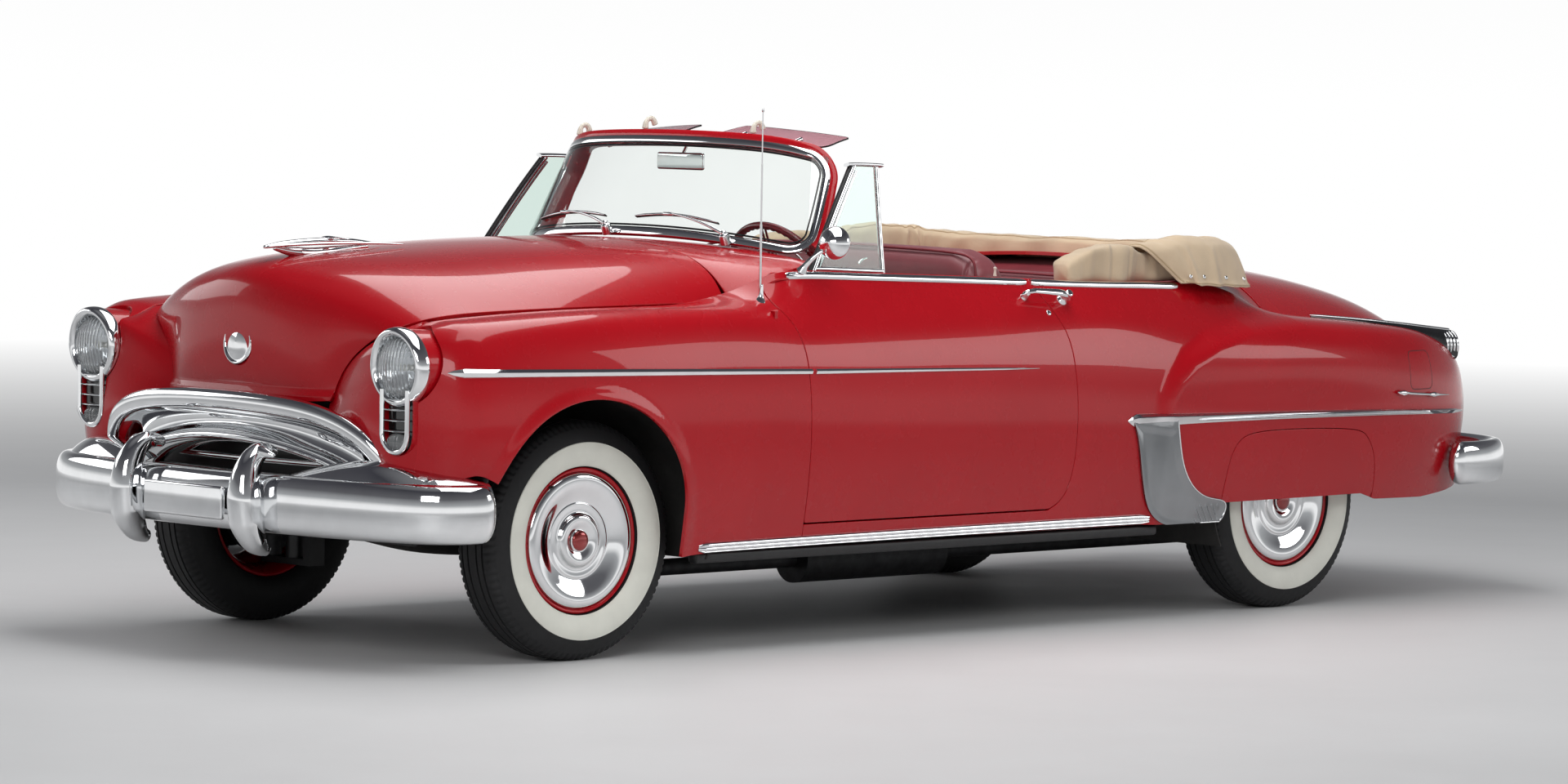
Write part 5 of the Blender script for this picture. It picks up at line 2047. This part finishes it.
def closed_rings(skin, inset=0.004):
    """Gives a sheet of cloth its thickness: out along the skin, round the hem and back inside it."""
    du = np.gradient(skin, axis=0)
    dv = np.gradient(skin, axis=1)
    normal = np.cross(du, dv)
    normal /= np.linalg.norm(normal, axis=-1, keepdims=True) + 1e-9
    middle = skin.mean(1, keepdims=True) - (0, 0, 0.05)
    normal *= np.sign((normal * (skin - middle)).sum(-1).mean())
    inner = skin - normal * inset
    return np.concatenate((skin, inner[:, ::-1]), 1)


boot_skin, boot_out = cover_form(72)
boot = piece("boot_cover", ringed(closed_rings(boot_skin)), CANVAS, "body", "canvas", ("top_boot",))


def stack_ring(y, half, low_z, high_z, x_mid, twist):
    ring = []
    for a in around(56):
        ca, sa = math.cos(a), math.sin(a)
        ring.append((x_mid + half * math.copysign(abs(ca) ** 0.45, ca) + twist * sa,
                     y - 0.010 * ca,
                     (low_z + high_z) / 2 + (high_z - low_z) / 2 * math.copysign(abs(sa) ** 0.50, sa)
                     + 0.004 * ca))
    return ring


stack_rows = []
STACK = ((0.345, 0.036, 1.066, 1.124, 0.735), (0.358, 0.046, 1.062, 1.140, 0.732),
         (0.400, 0.050, 1.062, 1.160, 0.730), (0.465, 0.051, 1.062, 1.181, 0.728),
         (0.540, 0.052, 1.062, 1.190, 0.727), (0.600, 0.052, 1.062, 1.191, 0.726),
         (0.650, 0.046, 1.064, 1.184, 0.724), (0.690, 0.030, 1.068, 1.164, 0.716),
         (0.760, 0.030, 1.070, 1.160, 0.714), (0.900, 0.040, 1.070, 1.170, 0.706),
         (1.020, 0.040, 1.080, 1.160, 0.690))
for y in np.linspace(STACK[0][0], STACK[-1][0], 130):
    half, low_z, high_z, mid = [np.interp(y, [r[0] for r in STACK], [r[k] for r in STACK])
                                for k in (1, 2, 3, 4)]
    ripple = 0.003 * math.sin(y * 74) + 0.002 * math.sin(y * 131)
    fold = -0.009 * math.exp(-((y - 0.548) / 0.012) ** 2) - 0.007 * math.exp(-((y - 0.632) / 0.010) ** 2)
    ring = np.array(stack_ring(y, half + ripple * 0.6 + fold, low_z, high_z + ripple * 0.4, mid,
                               0.010 * math.sin(y * 30)))
    ring[:, 1] += 0.10 * (ring[:, 2] - 1.10) * math.exp(-((y - 0.60) / 0.10) ** 2)
    stack_rows.append(ring)
stacks = piece("roof_stacks", both(ringed(np.array(stack_rows))), CANVAS, "body", "canvas")
hem_line = boot_skin[4:-4:3, -3]
seam_line = boot_skin[6:-6:3, 24]
inner_hem = boot_skin[4:-4:3, 2]
front_left_hem, front_right_hem = boot_skin[2, 14:-2], boot_skin[-3, 14:-2]
hems = merged(*[sweep(line, oval(0.0026, 0.0036, 10), UP, None, 0.002)
                for line in (hem_line, seam_line, inner_hem, front_left_hem, front_right_hem)])
piece("boot_seams", hems, CANVAS_EDGE, "body", "canvas")
snaps = []
for n in range(14, BOOT_STEPS - 10, 26):
    place = boot_skin[n, -7]
    direction = np.cross(boot_skin[n + 1, -7] - boot_skin[n - 1, -7], boot_skin[n, -5] - boot_skin[n, -9])
    direction /= np.linalg.norm(direction)
    direction *= np.sign(direction @ boot_out[n])
    snaps.append(lathe(((-0.001, 0.0075), (0.0020, 0.0072), (0.0042, 0.0052), (0.0050, 0.0003)),
                       place, direction, 20))
bright("boot_snaps", merged(*snaps), sharp=50)

# Under the body: the inner arches and the frame.


def inner_arch(centre_y, centre_z, ahead, behind, reach_z, first, last, wall):
    """The arch over one wheel; ahead and behind are its reaches towards the car's front and rear."""
    angles = np.radians(np.linspace(first, last, 60))
    form = ((0.896, 1.0), (wall, 1.0), (wall, 0.34), (wall - 0.006, 0.34), (wall - 0.006, 1.014),
            (0.896, 1.014))
    rings = []
    for angle in angles:
        reach_y = behind if math.cos(angle) > 0 else ahead
        rings.append([(x, centre_y + reach_y * r * math.cos(angle),
                       centre_z + reach_z * r * math.sin(angle)) for x, r in form])
    return ringed(rings)


arches = merged(inner_arch(at(-0.021), 0.432, 0.392, 0.510, 0.362, -24, 178, 0.385),
                inner_arch(REAR_Y, 0.400, 0.420, 0.420, 0.400, 2, 206, 0.500))
piece("inner_arches", both(arches), UNDER, "body", "underbody", sharp=40)
rail_path = curve(((0.300, -2.380, 0.440), (0.330, -2.200, 0.400), (0.390, -2.000, 0.340),
                   (0.420, -1.700, 0.330), (0.420, -1.200, 0.300), (0.420, 0.400, 0.300),
                   (0.420, 0.900, 0.330), (0.420, 1.300, 0.420), (0.420, 1.800, 0.420),
                   (0.410, 2.300, 0.430)), 120)
rails = both(sweep(rail_path, oval(0.030, 0.045, 24, 0.4), UP, None, 0.004))
members = [rounded_box((-0.42, y - 0.035, z - 0.03), (0.42, y + 0.035, z + 0.03), 0.012)
           for y, z in ((-2.150, 0.385), (-0.600, 0.290), (0.450, 0.290), (2.150, 0.400))]
piece("frame_dressed", merged(rails, *members), UNDER, "body", "underbody", ("frame",), sharp=40)


# The CAD nodes that stay in view.

NODE_MATERIALS = {
    "body_paint": RED, "chrome": CHROME, "glass": GLASS, "lamp_glass": LAMP_GLASS, "tyre": RUBBER,
    "wheel_paint": RED, "leather": HIDE, "canvas": CANVAS, "chassis_black": BLACK, "underbody": UNDER,
    "visor_tint": TINT, "steering_plastic": PLASTIC, "steel": STEEL, "cast_iron": IRON,
}
for row in frame["record"]["subparts"]:
    node = frame["nodes"][row["node"]]
    node.data.materials.clear()
    dark = "exhaust" in row["node"] or "muffler" in row["node"]
    node.data.materials.append(IRON if dark else NODE_MATERIALS[row["material_slot"]])

# Floor, light and camera.

def stage_floor():
    mesh = bpy.data.meshes.new("studio_floor")
    corners = [(x * FLOOR_REACH, y * FLOOR_REACH, 0) for x, y in ((-1, -1), (1, -1), (1, 1), (-1, 1))]
    mesh.from_pydata(corners, [], [[0, 1, 2, 3]])
    material, tree, shader = new_material("pale_floor")
    vector = coordinates(tree)
    tree.links.new(ramp(tree, noise(tree, vector, 0.8, 4.0),
                        ((0.3, (0.70, 0.70, 0.70)), (0.7, (0.74, 0.74, 0.74)))),
                   shader.inputs["Base Color"])
    roughened(tree, shader, noise(tree, vector, 6.0, 5.0), 0.45, 0.6)
    length = add(tree, "ShaderNodeVectorMath", operation="LENGTH")
    tree.links.new(vector, length.inputs[0])
    far_away = spread(tree, length.outputs["Value"], 0.0, 1.0, *FADE)
    share = combined(tree, "MULTIPLY", far_away, seen_directly(tree))
    pale = add(tree, "ShaderNodeEmission", Strength=1.0)
    blend = add(tree, "ShaderNodeMixShader")
    tree.links.new(share, blend.inputs["Fac"])
    tree.links.new(shader.outputs["BSDF"], blend.inputs[1])
    tree.links.new(pale.outputs["Emission"], blend.inputs[2])
    tree.links.new(blend.outputs["Shader"], tree.nodes["Material Output"].inputs["Surface"])
    mesh.materials.append(material)
    obj = bpy.data.objects.new("studio_floor", mesh)
    bpy.context.scene.collection.objects.link(obj)


stage_floor()

world = bpy.data.worlds.new("studio")
bpy.context.scene.world = world
world.use_nodes = True
tree = world.node_tree
back = tree.nodes["Background"]
put(back, {"Color": (0.80, 0.82, 0.85, 1), "Strength": 0.35})
where = add(tree, "ShaderNodeTexCoord")
split = add(tree, "ShaderNodeSeparateXYZ")
tree.links.new(where.outputs["Generated"], split.inputs["Vector"])
sky = ramp(tree, split.outputs["Z"], ((0.0, (1, 1, 1)), (0.04, (0.96, 0.96, 0.96)),
                                      (0.12, (0.40, 0.41, 0.42)), (0.35, (0.12, 0.12, 0.13)),
                                      (0.8, (0.05, 0.05, 0.06)), (1.0, (0.20, 0.20, 0.21))))
seen = add(tree, "ShaderNodeBackground", Strength=1.0)
tree.links.new(sky, seen.inputs["Color"])
mix = add(tree, "ShaderNodeMixShader")
tree.links.new(seen_directly(tree), mix.inputs["Fac"])
tree.links.new(back.outputs["Background"], mix.inputs[1])
tree.links.new(seen.outputs["Background"], mix.inputs[2])
tree.links.new(mix.outputs["Shader"], tree.nodes["World Output"].inputs["Surface"])


def softbox(name, place, target, size, power):
    light = bpy.data.lights.new(name, "AREA")
    light.shape = "RECTANGLE"
    light.size, light.size_y = size
    light.energy = power
    obj = bpy.data.objects.new(name, light)
    bpy.context.scene.collection.objects.link(obj)
    obj.location = place
    obj.rotation_mode = "QUATERNION"
    obj.rotation_quaternion = (Vector(target) - Vector(place)).to_track_quat("-Z", "Y")


softbox("overhead", (0.4, -0.4, 4.6), (0.0, -0.2, 0.0), (2.6, 6.5), 190)
softbox("front_left", (5.5, -7.5, 3.6), (0.3, -0.8, 0.6), (4.0, 2.2), 165)
softbox("right_fill", (-6.5, -4.0, 3.2), (0.0, 0.0, 0.5), (5.0, 2.2), 75)
softbox("rear_left", (6.0, 5.5, 3.4), (0.3, 0.8, 0.6), (4.0, 2.0), 80)

CAMERA_PLACE = (12.8447, -12.3194, 1.6692)
turn, rise, roll = [math.radians(v) for v in (46.546821, -3.131783, 0.967651)]
ahead = Vector((-math.sin(turn) * math.cos(rise), math.cos(turn) * math.cos(rise), math.sin(rise)))
across = ahead.cross(Vector((0, 0, 1))).normalized()
above = across.cross(ahead)
right = across * math.cos(roll) + above * math.sin(roll)
top = above * math.cos(roll) - across * math.sin(roll)
camera = bpy.data.objects.new("camera", bpy.data.cameras.new("camera"))
bpy.context.scene.collection.objects.link(camera)
camera.matrix_world = Matrix(((right.x, top.x, -ahead.x, CAMERA_PLACE[0]),
                              (right.y, top.y, -ahead.y, CAMERA_PLACE[1]),
                              (right.z, top.z, -ahead.z, CAMERA_PLACE[2]), (0, 0, 0, 1)))
camera.data.lens = 127.5
camera.data.sensor_width = 36.0
camera.data.clip_end = 200.0
bpy.context.scene.camera = camera
bpy.context.scene.view_settings.view_transform = "Standard"
